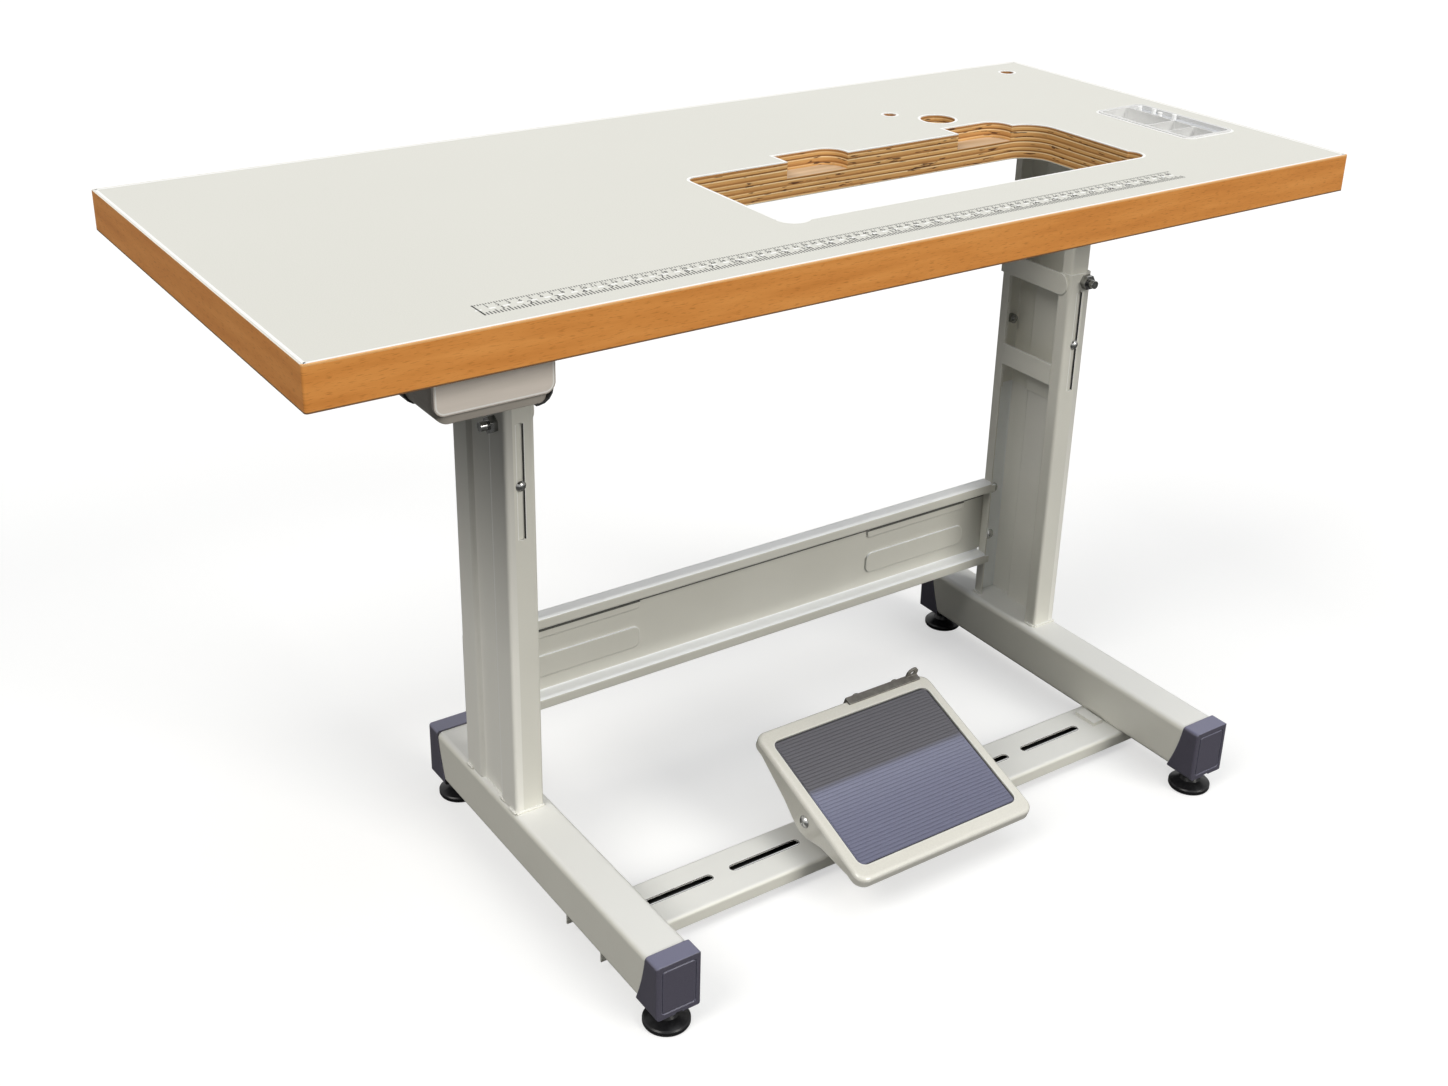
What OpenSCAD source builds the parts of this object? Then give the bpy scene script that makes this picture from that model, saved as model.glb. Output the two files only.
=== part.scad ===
// Industrial sewing machine table: a plywood worktop with a machine cut-out, on a height-adjustable
// steel stand with a pencil drawer, four screw glides and a treadle on a slotted bar.
// Millimetres. The origin is on the floor under the middle of the table's footprint, which the feet
// carry forward of the worktop's middle. +X is to the right as the operator sits, +Y to the back and
// +Z up. Left and right are the operator's.

/* [Worktop] */
// Length of the worktop, left to right
top_l = 1200; // [1100:10:1400]
// Depth of the worktop, front to back
top_d = 535; // [500:5:620]
// Thickness of the worktop with its laminates
top_t = 40; // [30:1:50]
// Height of the working surface over the floor
top_h = 780; // [725:1:835]
// Distance of the worktop's middle behind the origin
top_back = 15.5; // [0:0.5:30]
// Thickness of each plastic laminate
laminate_t = 1; // [0.5:0.1:1.5]
// Thickness of the glued edge band
band_t = 2; // [1:0.5:3]
// Radius of the worktop's upright corners
top_corner_r = 3; // [2.5:0.5:10]

/* [Machine cut-out] */
// Width of the cut-out, left to right
cut_w = 478; // [420:1:520]
// Depth of the cut-out, front to back
cut_d = 174; // [160:1:200]
// Distance from the worktop's front edge to the cut-out
cut_front = 106.5; // [95:0.5:120]
// Distance of the cut-out's middle to the right of the worktop's middle
cut_shift = 159; // [120:1:170]
// Radius of the cut-out's back right corner
cut_big_r = 35; // [25:1:45]
// Radius of the cut-out's back left corner
cut_small_r = 12; // [4:1:16]
// Radius of the cutter that relieves the two front corners
relief_r = 15; // [12:0.5:18]
// How far the corner reliefs reach past the cut-out
relief_out = 5; // [3:0.5:8]
// Width of each hinge rebate
rebate_w = 80; // [60:1:90]
// Length of each hinge rebate behind the cut-out
rebate_d = 27; // [20:1:32]
// Depth of the hinge rebates
rebate_t = 18; // [12:1:24]
// Radius of the hinge rebates' right corners
rebate_r = 22; // [10:1:26]
// Spacing of the two hinge rebates, middle to middle
rebate_pitch = 236; // [200:1:250]
// Distance of the middle of the rebates to the right of the cut-out's middle
rebate_shift = 47; // [40:1:60]

/* [Drilled holes] */
// Diameter of the belt hole
belt_hole_d = 40; // [30:1:46]
// Distance of the belt hole to the left of the cut-out's right end
belt_hole_in = 90; // [75:1:110]
// Distance of the belt hole behind the cut-out
belt_hole_back = 64.5; // [56:0.5:70]
// Diameter of the lamp lead hole
lead_hole_d = 15; // [10:1:20]
// Distance of the lamp lead hole to the left of the belt hole
lead_hole_left = 35.5; // [32:0.5:60]
// Distance of the lamp lead hole behind the belt hole
lead_hole_back = 43.5; // [30:0.5:60]
// Diameter of the thread stand hole
stand_hole_d = 17; // [12:1:25]
// Distance from the worktop's right edge to the thread stand hole
stand_hole_side = 52.5; // [40:0.5:70]
// Distance from the worktop's back edge to the thread stand hole
stand_hole_back = 44.5; // [30:0.5:60]

/* [Tool tray] */
// Width of the tray, left to right
tray_w = 76; // [70:1:90]
// Length of the tray, front to back
tray_l = 145; // [140:1:170]
// Distance from the worktop's right edge to the tray
tray_side = 29; // [25:1:60]
// Distance from the worktop's front edge to the tray
tray_front = 134.5; // [110:0.5:150]
// Depth of the tray below the surface
tray_depth = 16; // [12:1:20]
// Wall of the tray
tray_wall = 2; // [1.5:0.1:2.5]
// Height of the tray's rim over the surface
tray_proud = 1; // [0.6:0.1:2]

/* [Fasteners] */
// Diameter of the runner screws
runner_screw_d = 4; // [3:0.5:5]
// Length of the runner screws inside the worktop
runner_screw_l = 16; // [10:1:25]
// Diameter of the mounting plate screws
plate_screw_d = 5; // [4:0.5:6]
// Length of the mounting plate screws inside the worktop
plate_screw_l = 19; // [12:1:25]
// Diameter of the screws in the treadle's link bracket
link_screw_d = 4; // [3:0.5:5]
// Diameter of the bolts that hold the slotted bar
bar_bolt_d = 8; // [6:1:10]

/* [Drawer] */
// Width of the drawer's body
drawer_w = 108; // [90:1:140]
// Length of the drawer's body, front to back
drawer_l = 260; // [220:5:300]
// Height of the drawer's body
drawer_h = 48; // [40:1:60]
// Wall of the drawer
drawer_wall = 2; // [1.5:0.1:3]
// Height of the drawer's front panel
drawer_front_h = 39; // [30:1:39]
// Thickness of the drawer's front panel
drawer_front_t = 4; // [3:0.5:6]
// Gap between the worktop and the drawer
drawer_gap = 3; // [2:0.5:6]
// Distance from the worktop's front edge to the drawer's front panel
drawer_set_back = 31.5; // [10:0.5:40]
// Distance from the worktop's left edge to the drawer's middle
drawer_side = 175; // [150:1:210]
// Length of the drawer's runners
runner_l = 190; // [150:5:220]
// Distance from the drawer's front panel to the runners
runner_back = 60; // [40:1:80]
// Sheet of the drawer's runners
runner_t = 2; // [1.5:0.5:2.5]

/* [Stand] */
// Distance of the stand's middle to the right of the worktop's middle
stand_shift = 105; // [60:1:140]
// Distance between the middles of the two foot tubes
foot_pitch = 764; // [700:2:820]
// Length of each foot over its end caps
foot_l = 513; // [460:1:560]
// Distance from the origin forward to the feet's front faces
foot_reach = 281.5; // [260:0.5:300]
// Width of the foot tubes
tube_w = 50; // [45:1:60]
// Height of the foot tubes
tube_h = 62; // [50:1:70]
// Wall of the foot tubes
tube_wall = 2; // [1.5:0.5:3]
// Outer corner radius of the foot tubes
tube_r = 7; // [4:0.5:8]
// Clear height under the foot tubes
foot_clear = 30; // [28:1:36]
// Width of the columns, seen from the front
col_w = 35; // [32:1:40]
// Depth of the columns, front to back
col_d = 120; // [110:1:140]
// Length of the columns
col_l = 491; // [480:1:500]
// Distance from the origin back to the columns' front faces
col_back = 17.5; // [0:0.5:35]
// Distance from a foot tube's outer side in to the column's web
col_inset = 3; // [1:0.5:6]
// Sheet of the columns and posts
col_wall = 2; // [1.5:0.5:2.5]
// Inside bend radius of the pressed sheet
bend_r = 2; // [1:0.5:3]
// Clearance between a post and its column
post_fit = 0.5; // [0.4:0.1:1]
// Length of the posts
post_l = 337; // [300:1:380]
// Width of the stiffening flute pressed into the webs
flute_w = 52; // [40:1:56]
// Depth of the stiffening flute
flute_depth = 5; // [3:0.5:6]
// Width of the front lips
lip_front = 18; // [14:1:20]
// Width of the rear lips
lip_rear = 15; // [12:1:18]

/* [Height adjustment] */
// Length of the height slots over their round ends
slot_l = 132; // [110:1:140]
// Width of the height slots
slot_w = 8; // [7.5:0.5:10]
// Distance from the top of a column to its slots
slot_top = 23; // [20:1:30]
// Height of the slot screws below the worktop
slot_screw_drop = 250; // [230:1:270]
// Diameter of the slot screws
slot_screw_d = 6; // [5:0.5:7]
// Diameter of the clamp studs
clamp_d = 10; // [8:1:12]
// Distance from a column's top to the left clamp stud
clamp_drop_left = 27; // [20:1:40]
// Distance from a column's top to the right clamp stud
clamp_drop_right = 11; // [10:1:14]
// Width of the welded straps
strap_w = 27; // [20:1:32]
// Distance from a column's top to the upper strap
strap_top = 1; // [0:1:10]
// Distance from a column's top to the lower strap
strap_low = 122; // [100:1:160]
// Length of the mounting plates under the worktop
plate_l = 170; // [165:1:200]
// Width of the mounting plates
plate_w = 70; // [60:1:80]
// Thickness of the mounting plates
plate_t = 3; // [2:0.5:4]

/* [Brace] */
// Height of the brace's web
brace_h = 109; // [90:1:130]
// Height of the brace's lower edge over the foot tubes
brace_low = 62; // [40:1:90]
// Height of the lips on the brace's flanges
brace_lip = 14; // [8:1:18]
// Sheet of the brace
brace_wall = 2; // [1.5:0.5:2.5]
// How far the brace's lips run past the columns' rear lips
brace_tab = 6; // [4:1:16]
// Depth of the pads pressed into the brace
emboss_t = 2.5; // [1.5:0.5:3]
// Diameter of the brace bolts
brace_bolt_d = 8; // [6:1:8]
// Height of the lower brace bolts over the brace's lower edge
brace_bolt_low = 21; // [18:1:30]
// Distance between the two bolts in a column
brace_bolt_pitch = 70; // [50:1:75]

/* [Glides and caps] */
// Diameter of the glides
glide_d = 50; // [44:1:52]
// Diameter of the glides' studs
glide_stud_d = 10; // [8:1:12]
// Running clearance between a stud and its weld nut, on the radius
glide_fit = 0.05; // [0.03:0.01:0.1]
// Distance from a foot's end face to its glide
glide_in = 23; // [22:0.5:26]
// Length of the end caps over the tubes' upper sides
cap_top_l = 22; // [18:1:28]
// Length of the end caps along the tubes' undersides
cap_low_l = 39; // [38:1:46]
// Radius of the hollow curve in which the end caps widen downward
cap_flare_r = 240; // [150:10:400]
// Side wall of the end caps
cap_side = 1.5; // [1.2:0.1:2.5]
// Upper and lower wall of the end caps
cap_floor = 2; // [1.5:0.1:2.5]
// End wall of the end caps
cap_end = 3; // [2:0.5:5]

/* [Treadle] */
// Width of the slotted bar
bar_w = 74; // [66:1:84]
// Height of the slotted bar
bar_h = 16; // [12:1:22]
// Sheet of the slotted bar
bar_wall = 2; // [1.5:0.5:2.5]
// Length that the bar stands past the foot tubes
bar_past = 1; // [0:1:8]
// Distance from the feet's front faces back to the bar's middle
bar_back = 157; // [140:1:180]
// Length of the bar's slots
bar_slot_l = 94; // [70:1:94]
// Width of the bar's slots
bar_slot_w = 10; // [9:0.5:14]
// Distance of the slot row to the left of the stand's middle
bar_slot_shift = 5; // [0:1:8]
// Middles of the inner slots, out from the middle of the row
bar_slot_in = 52; // [50:1:54]
// Middles of the slots between, out from the middle of the row
bar_slot_mid = 160; // [156:1:164]
// Middles of the outer slots, out from the middle of the row
bar_slot_out = 278; // [272:1:282]
// Distance between the two bolts that hold the bar in a foot
bar_bolt_pitch = 40; // [34:1:44]
// Width of the treadle, left to right
pedal_w = 255; // [240:1:300]
// Length of the treadle, front to back
pedal_l = 220; // [200:1:240]
// Angle that the treadle rises to the back
pedal_tilt = 20; // [15:1:28]
// Height of the treadle's pivot over the floor
pivot_h = 74.4; // [70:0.2:90]
// Distance from the feet's front faces back to the pivot
pivot_back = 137; // [130:1:145]
// Distance from the treadle's front edge back to the pivot, along the treadle
pivot_in = 104; // [95:1:115]
// Depth of the pivot below the treading surface
pivot_drop = 16; // [15:0.5:20]
// Diameter of the pivot bolts
pivot_d = 8; // [6:1:10]
// Running clearance of the pivots, on the radius
pivot_fit = 0.05; // [0.03:0.01:0.1]
// Width of the treadle's rim
rim_w = 18; // [14:1:22]
// Height of the rim over the treading surface
rim_h = 4; // [3:0.5:6]
// Wall of the treadle's skirts
skirt_t = 3; // [2.5:0.5:4]
// Pitch of the ribs on the treadle's mat
mat_pitch = 4.5; // [4:0.5:8]
// Diameter of the hole in the link ear
link_hole_d = 7; // [5:0.5:8]
// Diameter of the carrier bolts
carrier_bolt_d = 8; // [6:1:8]
// Distance between the outer faces of the carrier's ears
carrier_w = 164; // [150:2:190]
// Distance between the two carrier bolts
carrier_bolt_pitch = 104; // [90:1:110]

/* [Hidden] */

left = -1;
right = 1;
front = -1;
rear = 1;
eps = 0.01;
// Running gap between flat faces that slide past each other
slide_gap = 0.3;
// Gap between neighbouring edges of the stand's sheets
seat_gap = 0.5;
// Clearance round a fastener in its drilled hole, on the radius
hole_fit = 0.2;
// Clearance of one flat piece let into another
seat_fit = 0.2;
// Straight runs that make up each bend of a pressed sheet
bend_steps = 4;
round_fn = 64;

laminate_colour = [0.90, 0.91, 0.89];
beech_colour = [0.80, 0.54, 0.28];
ply_colour = [0.72, 0.55, 0.36];
frame_colour = [0.76, 0.76, 0.71];
drawer_colour = [0.72, 0.69, 0.65];
tray_colour = [0.92, 0.93, 0.93];
cap_colour = [0.29, 0.28, 0.36];
black_colour = [0.09, 0.09, 0.10];
zinc_colour = [0.66, 0.67, 0.68];
dark_steel_colour = [0.40, 0.39, 0.36];
pedal_colour = [0.87, 0.86, 0.81];
mat_colour = [0.36, 0.37, 0.44];

// Worktop
top_under = top_h - top_t;
top_y0 = top_back - top_d / 2;
top_y1 = top_back + top_d / 2;
core_l = top_l - 2 * band_t;
core_d = top_d - 2 * band_t;
core_r = top_corner_r - band_t;
cut_y0 = top_y0 + cut_front;
cut_y1 = cut_y0 + cut_d;
cut_x0 = cut_shift - cut_w / 2;
cut_x1 = cut_shift + cut_w / 2;
// The reliefs bite into the front edge on the left and into the right edge on the right
relief_left = [cut_x0 + relief_r, cut_y0 + relief_r - relief_out];
relief_right = [cut_x1 - relief_r + relief_out, cut_y0 + relief_r];
rebate_centre = cut_shift + rebate_shift;
belt_hole = [cut_x1 - belt_hole_in, cut_y1 + belt_hole_back];
lead_hole = belt_hole + [-lead_hole_left, lead_hole_back];
stand_hole = [top_l / 2 - stand_hole_side, top_y1 - stand_hole_back];

// Tool tray
tray_x0 = top_l / 2 - tray_side - tray_w;
tray_y0 = top_y0 + tray_front;
tray_r = 10;
tray_rim = 2.5;
tray_floor = top_h - tray_depth;
tray_top = top_h + tray_proud;
// Width of the tray's deep half, the rest being the deck that holds the bobbin pegs
basin_w = 0.56 * tray_w;
basin_l = 0.5 * tray_l;
deck_depth = 4;
groove_w = 5;
pegs = 4;
peg_d = 5.5;
peg_h = 6;
peg_pitch = 16;
peg_stagger = 3.5;
// Distance of the first peg behind the tray's middle
peg_first = 8;
bin_ribs = 4;
bin_rib_t = 1.2;
bin_rib_h = 2.5;

// Drawer
drawer_x = -top_l / 2 + drawer_side;
drawer_face = top_y0 + drawer_set_back;
drawer_y0 = drawer_face + drawer_front_t;
drawer_y1 = drawer_y0 + drawer_l;
drawer_top = top_under - drawer_gap;
drawer_bottom = drawer_top - drawer_h;
drawer_edge_r = 12;
drawer_panel_side = 2;
runner_y0 = drawer_face + runner_back;
runner_foot = 18;
runner_lip = 16;
runner_screw_in = 20;
drawer_panel_r = 10;

// Stand
tube_top = foot_clear + tube_h;
foot_y0 = -foot_reach;
foot_y1 = foot_y0 + foot_l;
col_out = tube_w / 2 - col_inset;
col_top = tube_top + col_l;
mid_bend = bend_r + col_wall / 2;
post_top = top_under - plate_t;
slot_screw_z = top_under - slot_screw_drop;
slot_x = col_out - col_w / 2;
slot_z1 = col_top - slot_top;
slot_z0 = slot_z1 - slot_l;
flute_run = 4;
// The worktop's mounting plates end at the posts' outer faces
plate_out = col_out - col_wall - post_fit;
plate_r = 8;
plate_screw_end = 15;
slot_insert_l = 7;
slot_head_r = 6;
slot_head_h = 3.5;
clamp_l = 17;
// Distance of the left clamp stud behind the column's front face
clamp_back = 20;
// Distance of the right clamp stud inside the column's outer face
clamp_in = 10;
strap_set_back = 4;
// How far the lower straps stand proud of the lips
strap_proud = 1;

// Brace
brace_z0 = tube_top + brace_low;
brace_z1 = brace_z0 + brace_h;
brace_y = col_back + col_d;
brace_bolt_x = col_out - col_w / 2;
// The pressed pads: their length, height and distance over the brace's lower edge
emboss_l = 163;
emboss_h = 28;
emboss_up = 35;
rib_h = 14;
rib_up = 80;
// Distance from the columns to the pads
emboss_in = 34;
// Distance that the brace's web ends inside the columns' outer faces
brace_short = 2;
// Middle plane of the brace's lips, which clear the front edges of the columns' rear lips
brace_fore = brace_y - lip_rear - seat_gap - brace_wall / 2;

// Feet
glide_front_y = foot_y0 + glide_in;
glide_rear_y = foot_y1 - glide_in;
cap_w = tube_w + 2 * cap_side;
cap_z0 = foot_clear - cap_floor;
cap_h = tube_h + 2 * cap_floor;
// Lowest part of the end caps, where they are longest
cap_skirt_h = 4;
weld_nut_h = 9;
cap_r = 4;
// Groove that outlines the panel on a cap's end, and the notch under it
cap_margin = 6;
cap_groove_w = 1.5;
cap_groove_t = 0.8;
cap_notch = [8, 4];
cap_notch_t = 1.5;
glide_pad_h = 6;
glide_neck_r = 10.5;
glide_neck_z = 16;
glide_collar_h = 6;
glide_stud_up = 37;

// Treadle
bar_y = foot_y0 + bar_back;
bar_top = foot_clear;
bar_x = foot_pitch / 2 + tube_w / 2 + bar_past;
// Middles of the bar's slots, from the middle of the slot row
bar_slots = [-bar_slot_out, -bar_slot_mid, -bar_slot_in, bar_slot_in, bar_slot_mid, bar_slot_out];
// Distance of the slot row behind the bar's middle
slot_row_y = bar_y + 2;
lug = [15, 32, 5];
// The carrier's foot: its length front to back, and its front edge before the slot row
carrier_foot_l = 60;
bar_washer_d = 20;
bar_washer_t = 1.6;
carrier_foot_h = 14;
carrier_foot_fore = 36;
carrier_foot_y = slot_row_y - carrier_foot_fore;
pivot_y = foot_y0 + pivot_back;
mat_w = pedal_w - 2 * rim_w + 10;
mat_l = pedal_l - 2 * rim_w;
pedal_floor_t = 3;
carrier_t = 3;
ear_r = 11;
washer_d = 15;
pedal_r = 14;
// Lower edge of the treadle's rim under the treading surface, and the fall of its rounded top
rim_under = 9;
rim_soft = 5;
// Skirts: depth below the pivots, and where they start to draw up before and behind them
skirt_low = 20;
skirt_fore = 36;
skirt_aft = 40;
// Ribs under the treadle: thickness, and distances from its middle
under_rib_t = 2.5;
under_rib_x = 66;
under_rib_y = 55;
mat_base_t = 2;
mat_rib_h = 1;
// Bracket for the link: its left end from the treadle's middle, its length, sheet, width and drop
link_x0 = 6;
link_l = 108;
link_t = 2.5;
link_w = 10;
link_drop = 8;
link_screw_x = [18, 77];
link_screw_z = -0.2;
link_screw_l = 12;
link_ear_up = 7;
link_ear_r = 8;
// Places across the treadle, from its middle
skirt_in = pedal_w / 2 - skirt_t;
ear_out = carrier_w / 2;

// Width across the flats of a nut or head on a thread of diameter d
function across_flats(d) = 1.65 * d;
function nut_h(d) = 0.8 * d;
function head_h(d) = 0.65 * d;

// Unit vector along v
function unit(v) = v / norm(v);
// Unit vector to the left of v
function left_of(v) = [-unit(v)[1], unit(v)[0]];
// A path moved to its left by d, with square mitres at its corners
function offset_path(p, d) = [
    for (i = [0:len(p) - 1])
        let (n1 = left_of(i > 0 ? p[i] - p[i - 1] : p[1] - p[0]))
        let (n2 = i < len(p) - 1 ? left_of(p[i + 1] - p[i]) : n1)
        p[i] + (n1 + n2) * d / (1 + n1 * n2)
];
// The side of a bend at b, at a distance off from the middle line, positive to the left
function bend_points(a, b, c, r, off) =
    let (u = unit(a - b))
    let (v = unit(c - b))
    let (half = acos(u * v) / 2)
    let (centre = b + unit(u + v) * r / sin(half))
    let (turn = cross(b - a, c - b) > 0 ? 1 : -1)
    let (first = b + u * r / tan(half) - centre)
    let (start = atan2(first[1], first[0]))
    let (radius = r - turn * off)
    [
        for (i = [0:bend_steps])
            let (angle = start + turn * (180 - 2 * half) * i / bend_steps)
            centre + radius * [cos(angle), sin(angle)]
    ];
// One side of a bent sheet
function sheet_side(p, r, off) = concat(
    [p[0] + left_of(p[1] - p[0]) * off],
    [for (i = [1:len(p) - 2]) each bend_points(p[i - 1], p[i], p[i + 1], r, off)],
    [p[len(p) - 1] + left_of(p[len(p) - 1] - p[len(p) - 2]) * off]
);
function backwards(list) = [for (i = [len(list) - 1:-1:0]) list[i]];
// Outline of a sheet of thickness t bent along the path p with the middle radius r
function sheet(p, t, r) = concat(sheet_side(p, r, t / 2), backwards(sheet_side(p, r, -t / 2)));

// Rectangle centred on the origin with true round corners
module round_rect(w, d, r) {
    square([w - 2 * r, d], center = true);
    square([w, d - 2 * r], center = true);
    for (x = [-1, 1], y = [-1, 1])
        translate([x * (w / 2 - r), y * (d / 2 - r)]) circle(r, $fn = round_fn);
}

// Slot along X with round ends, l long over all
module slot_shape(l, w) {
    square([l - w, w], center = true);
    for (x = [-1, 1]) translate([x * (l - w) / 2, 0]) circle(d = w, $fn = round_fn);
}

// Extrudes a shape drawn in (y, z) along X, centred on x = 0
module along_x(l) {
    rotate([90, 0, 90]) linear_extrude(l, center = true) children();
}

// Extrudes a shape drawn in (x, z) along Y from y = 0
module along_y(l) {
    translate([0, l, 0]) rotate([90, 0, 0]) linear_extrude(l) children();
}

// Extrudes a shape upwards between two heights
module between(z0, z1) {
    translate([0, 0, z0]) linear_extrude(z1 - z0) children();
}

module rod(d, z0, z1) {
    translate([0, 0, z0]) cylinder(d = d, h = z1 - z0, $fn = round_fn);
}

// Hexagon head or nut on the axis Z, w across its flats
module hex(w, z0, z1) {
    translate([0, 0, z0]) cylinder(d = w / cos(30), h = z1 - z0, $fn = 6);
}

// Low domed head of radius r with its seat at z = 0
module dome_head(r, h) {
    rotate_extrude($fn = round_fn) intersection() {
        square([r, h]);
        translate([0, h - (r * r + h * h) / (2 * h)]) circle((r * r + h * h) / (2 * h), $fn = round_fn);
    }
}

// Frame of one side of the stand: X outwards from the foot tube's middle
module stand_side(side) {
    translate([stand_shift + side * foot_pitch / 2, 0, 0])
        mirror([side == left ? 1 : 0, 0, 0]) children();
}

// Frame of one end of a foot: Y into the foot from its end face
module foot_end(side, end) {
    stand_side(side)
        translate([0, end == front ? foot_y0 : foot_y1, 0])
            mirror([0, end == front ? 0 : 1, 0]) children();
}

// Plan of the through cut-out for the machine bed
module cut_plan() {
    translate([cut_shift, cut_y0 + cut_d / 2]) difference() {
        square([cut_w, cut_d], center = true);
        translate([cut_w / 2, cut_d / 2]) corner_waste(cut_big_r);
        translate([-cut_w / 2, cut_d / 2]) mirror([1, 0]) corner_waste(cut_small_r);
        translate([-cut_w / 2, -cut_d / 2]) mirror([1, 0]) mirror([0, 1]) corner_waste(relief_r);
        translate([cut_w / 2, -cut_d / 2]) mirror([0, 1]) corner_waste(relief_r);
    }
    translate(relief_left) circle(relief_r, $fn = round_fn);
    translate(relief_right) circle(relief_r, $fn = round_fn);
}

// What a rounding of radius r takes off the corner at the origin, with the material to its left and below
module corner_waste(r) {
    difference() {
        translate([-r, -r]) square(r + 1);
        translate([-r, -r]) circle(r, $fn = round_fn);
    }
}

// Plan of one hinge rebate, with its right corner round
module rebate_plan() {
    difference() {
        translate([-rebate_w / 2, -1]) square([rebate_w, rebate_d + 1]);
        translate([rebate_w / 2, rebate_d]) corner_waste(rebate_r);
    }
}

module core_plan() {
    translate([0, top_back]) round_rect(core_l, core_d, core_r);
}

// Everything that is cut through the worktop from top to bottom
module worktop_cuts(z0, z1) {
    between(z0 - 1, z1 + 1) cut_plan();
    translate(belt_hole) rod(belt_hole_d, z0 - 1, z1 + 1);
    translate(lead_hole) rod(lead_hole_d, z0 - 1, z1 + 1);
    translate(stand_hole) rod(stand_hole_d, z0 - 1, z1 + 1);
}

module rebate_cuts() {
    for (k = [-1, 1])
        translate([rebate_centre + k * rebate_pitch / 2, cut_y1, 0])
            between(top_h - rebate_t, top_h + 1) rebate_plan();
}

module tray_place() {
    translate([tray_x0 + tray_w / 2, tray_y0 + tray_l / 2, 0]) children();
}

// Pocket for the tray's body, which hangs on its rim
module tray_pocket() {
    tray_place() between(tray_floor, top_h + 1)
        round_rect(tray_w - 2 * tray_rim, tray_l - 2 * tray_rim, tray_r - tray_rim);
}

// The laminate is cut out for the tray's rim, so that the rim seats on the core
module tray_rim_cut() {
    tray_place() between(top_h - laminate_t - 1, top_h + 1)
        round_rect(tray_w + 2 * seat_fit, tray_l + 2 * seat_fit, tray_r + seat_fit);
}

module table_core() {
    color(ply_colour) difference() {
        between(top_under + laminate_t, top_h - laminate_t) core_plan();
        worktop_cuts(top_under, top_h);
        rebate_cuts();
        tray_pocket();
        screw_pilots();
    }
}

module top_laminate() {
    color(laminate_colour) difference() {
        between(top_h - laminate_t, top_h) core_plan();
        worktop_cuts(top_under, top_h);
        rebate_cuts();
        tray_rim_cut();
    }
}

module bottom_laminate() {
    color(laminate_colour) difference() {
        between(top_under, top_under + laminate_t) core_plan();
        worktop_cuts(top_under, top_h);
        screw_pilots();
    }
}

module edge_band() {
    color(beech_colour) difference() {
        between(top_under, top_h) translate([0, top_back]) round_rect(top_l, top_d, top_corner_r);
        between(top_under - 1, top_h + 1) core_plan();
    }
}

// Moulded tray: a deep basin behind, two small bins in front, and a deck with bobbin pegs on the right
module tool_tray() {
    body_w = tray_w - 2 * tray_rim - 2 * seat_fit;
    body_l = tray_l - 2 * tray_rim - 2 * seat_fit;
    in_w = body_w - 2 * tray_wall;
    in_l = body_l - 2 * tray_wall;
    x0 = -in_w / 2;
    y0 = -in_l / 2;
    basin_z = tray_floor + tray_wall;
    bin_l = (in_l - basin_l - 2 * tray_wall) / 2;
    deck_x = x0 + basin_w + tray_wall;
    deck_w = in_w / 2 - deck_x;
    color(tray_colour) tray_place() {
        difference() {
            union() {
                between(top_h - laminate_t, tray_top) round_rect(tray_w, tray_l, tray_r);
                between(tray_floor, top_h) round_rect(body_w, body_l, tray_r - tray_rim);
            }
            translate([x0 + basin_w / 2, in_l / 2 - basin_l / 2, 0])
                between(basin_z, tray_top + 1) round_rect(basin_w, basin_l, 4);
            for (k = [0, 1])
                translate([x0 + basin_w / 2, y0 + bin_l / 2 + k * (bin_l + tray_wall), 0])
                    between(basin_z, tray_top + 1) round_rect(basin_w, bin_l, 3);
            translate([deck_x + deck_w / 2, 0, 0])
                between(tray_top - deck_depth, tray_top + 1) round_rect(deck_w, in_l, 3);
            translate([deck_x + deck_w / 2, -in_l / 4, 0]) rotate(90)
                between(basin_z + tray_wall, tray_top) slot_shape(in_l / 2 - 12, groove_w);
        }
        for (k = [0:pegs - 1]) let (aside = k % 2 == 0 ? peg_stagger : -peg_stagger)
            translate([deck_x + deck_w / 2 + aside, peg_first + k * peg_pitch, 0])
                rod(peg_d, tray_top - deck_depth - eps, tray_top - deck_depth + peg_h);
        for (k = [1:bin_ribs])
            translate([x0 + k * basin_w / (bin_ribs + 1), y0 + bin_l / 2, basin_z + bin_rib_h / 2 - eps])
                cube([bin_rib_t, bin_l - 4, bin_rib_h], center = true);
    }
}

// Solid of the drawer's outer form, grown inwards by d
module drawer_form(d) {
    r = drawer_edge_r - d;
    w = drawer_w - 2 * d;
    l = drawer_l - 2 * d;
    z0 = drawer_bottom + d;
    intersection() {
        translate([drawer_x, drawer_y0 + d, z0]) along_y(l) {
            translate([-w / 2, r]) square([w, drawer_h]);
            translate([-w / 2 + r, 0]) square([w - 2 * r, drawer_h]);
            for (x = [-1, 1]) translate([x * (w / 2 - r), r]) circle(r, $fn = round_fn);
        }
        translate([drawer_x, drawer_y0 + drawer_l / 2, 0])
            between(z0, d > 0 ? drawer_top + 1 : drawer_top) round_rect(w, l, r);
    }
}

module drawer_box() {
    color(drawer_colour) difference() {
        drawer_form(0);
        drawer_form(drawer_wall);
    }
}

module drawer_front() {
    w = drawer_w + 2 * drawer_panel_side;
    r = drawer_panel_r;
    color(drawer_colour)
        translate([drawer_x, drawer_face, drawer_top - drawer_front_h]) along_y(drawer_front_t) {
            translate([-w / 2, r]) square([w, drawer_front_h - r]);
            translate([-w / 2 + r, 0]) square([w - 2 * r, drawer_front_h]);
            for (x = [-1, 1]) translate([x * (w / 2 - r), r]) circle(r, $fn = round_fn);
        }
}

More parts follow.
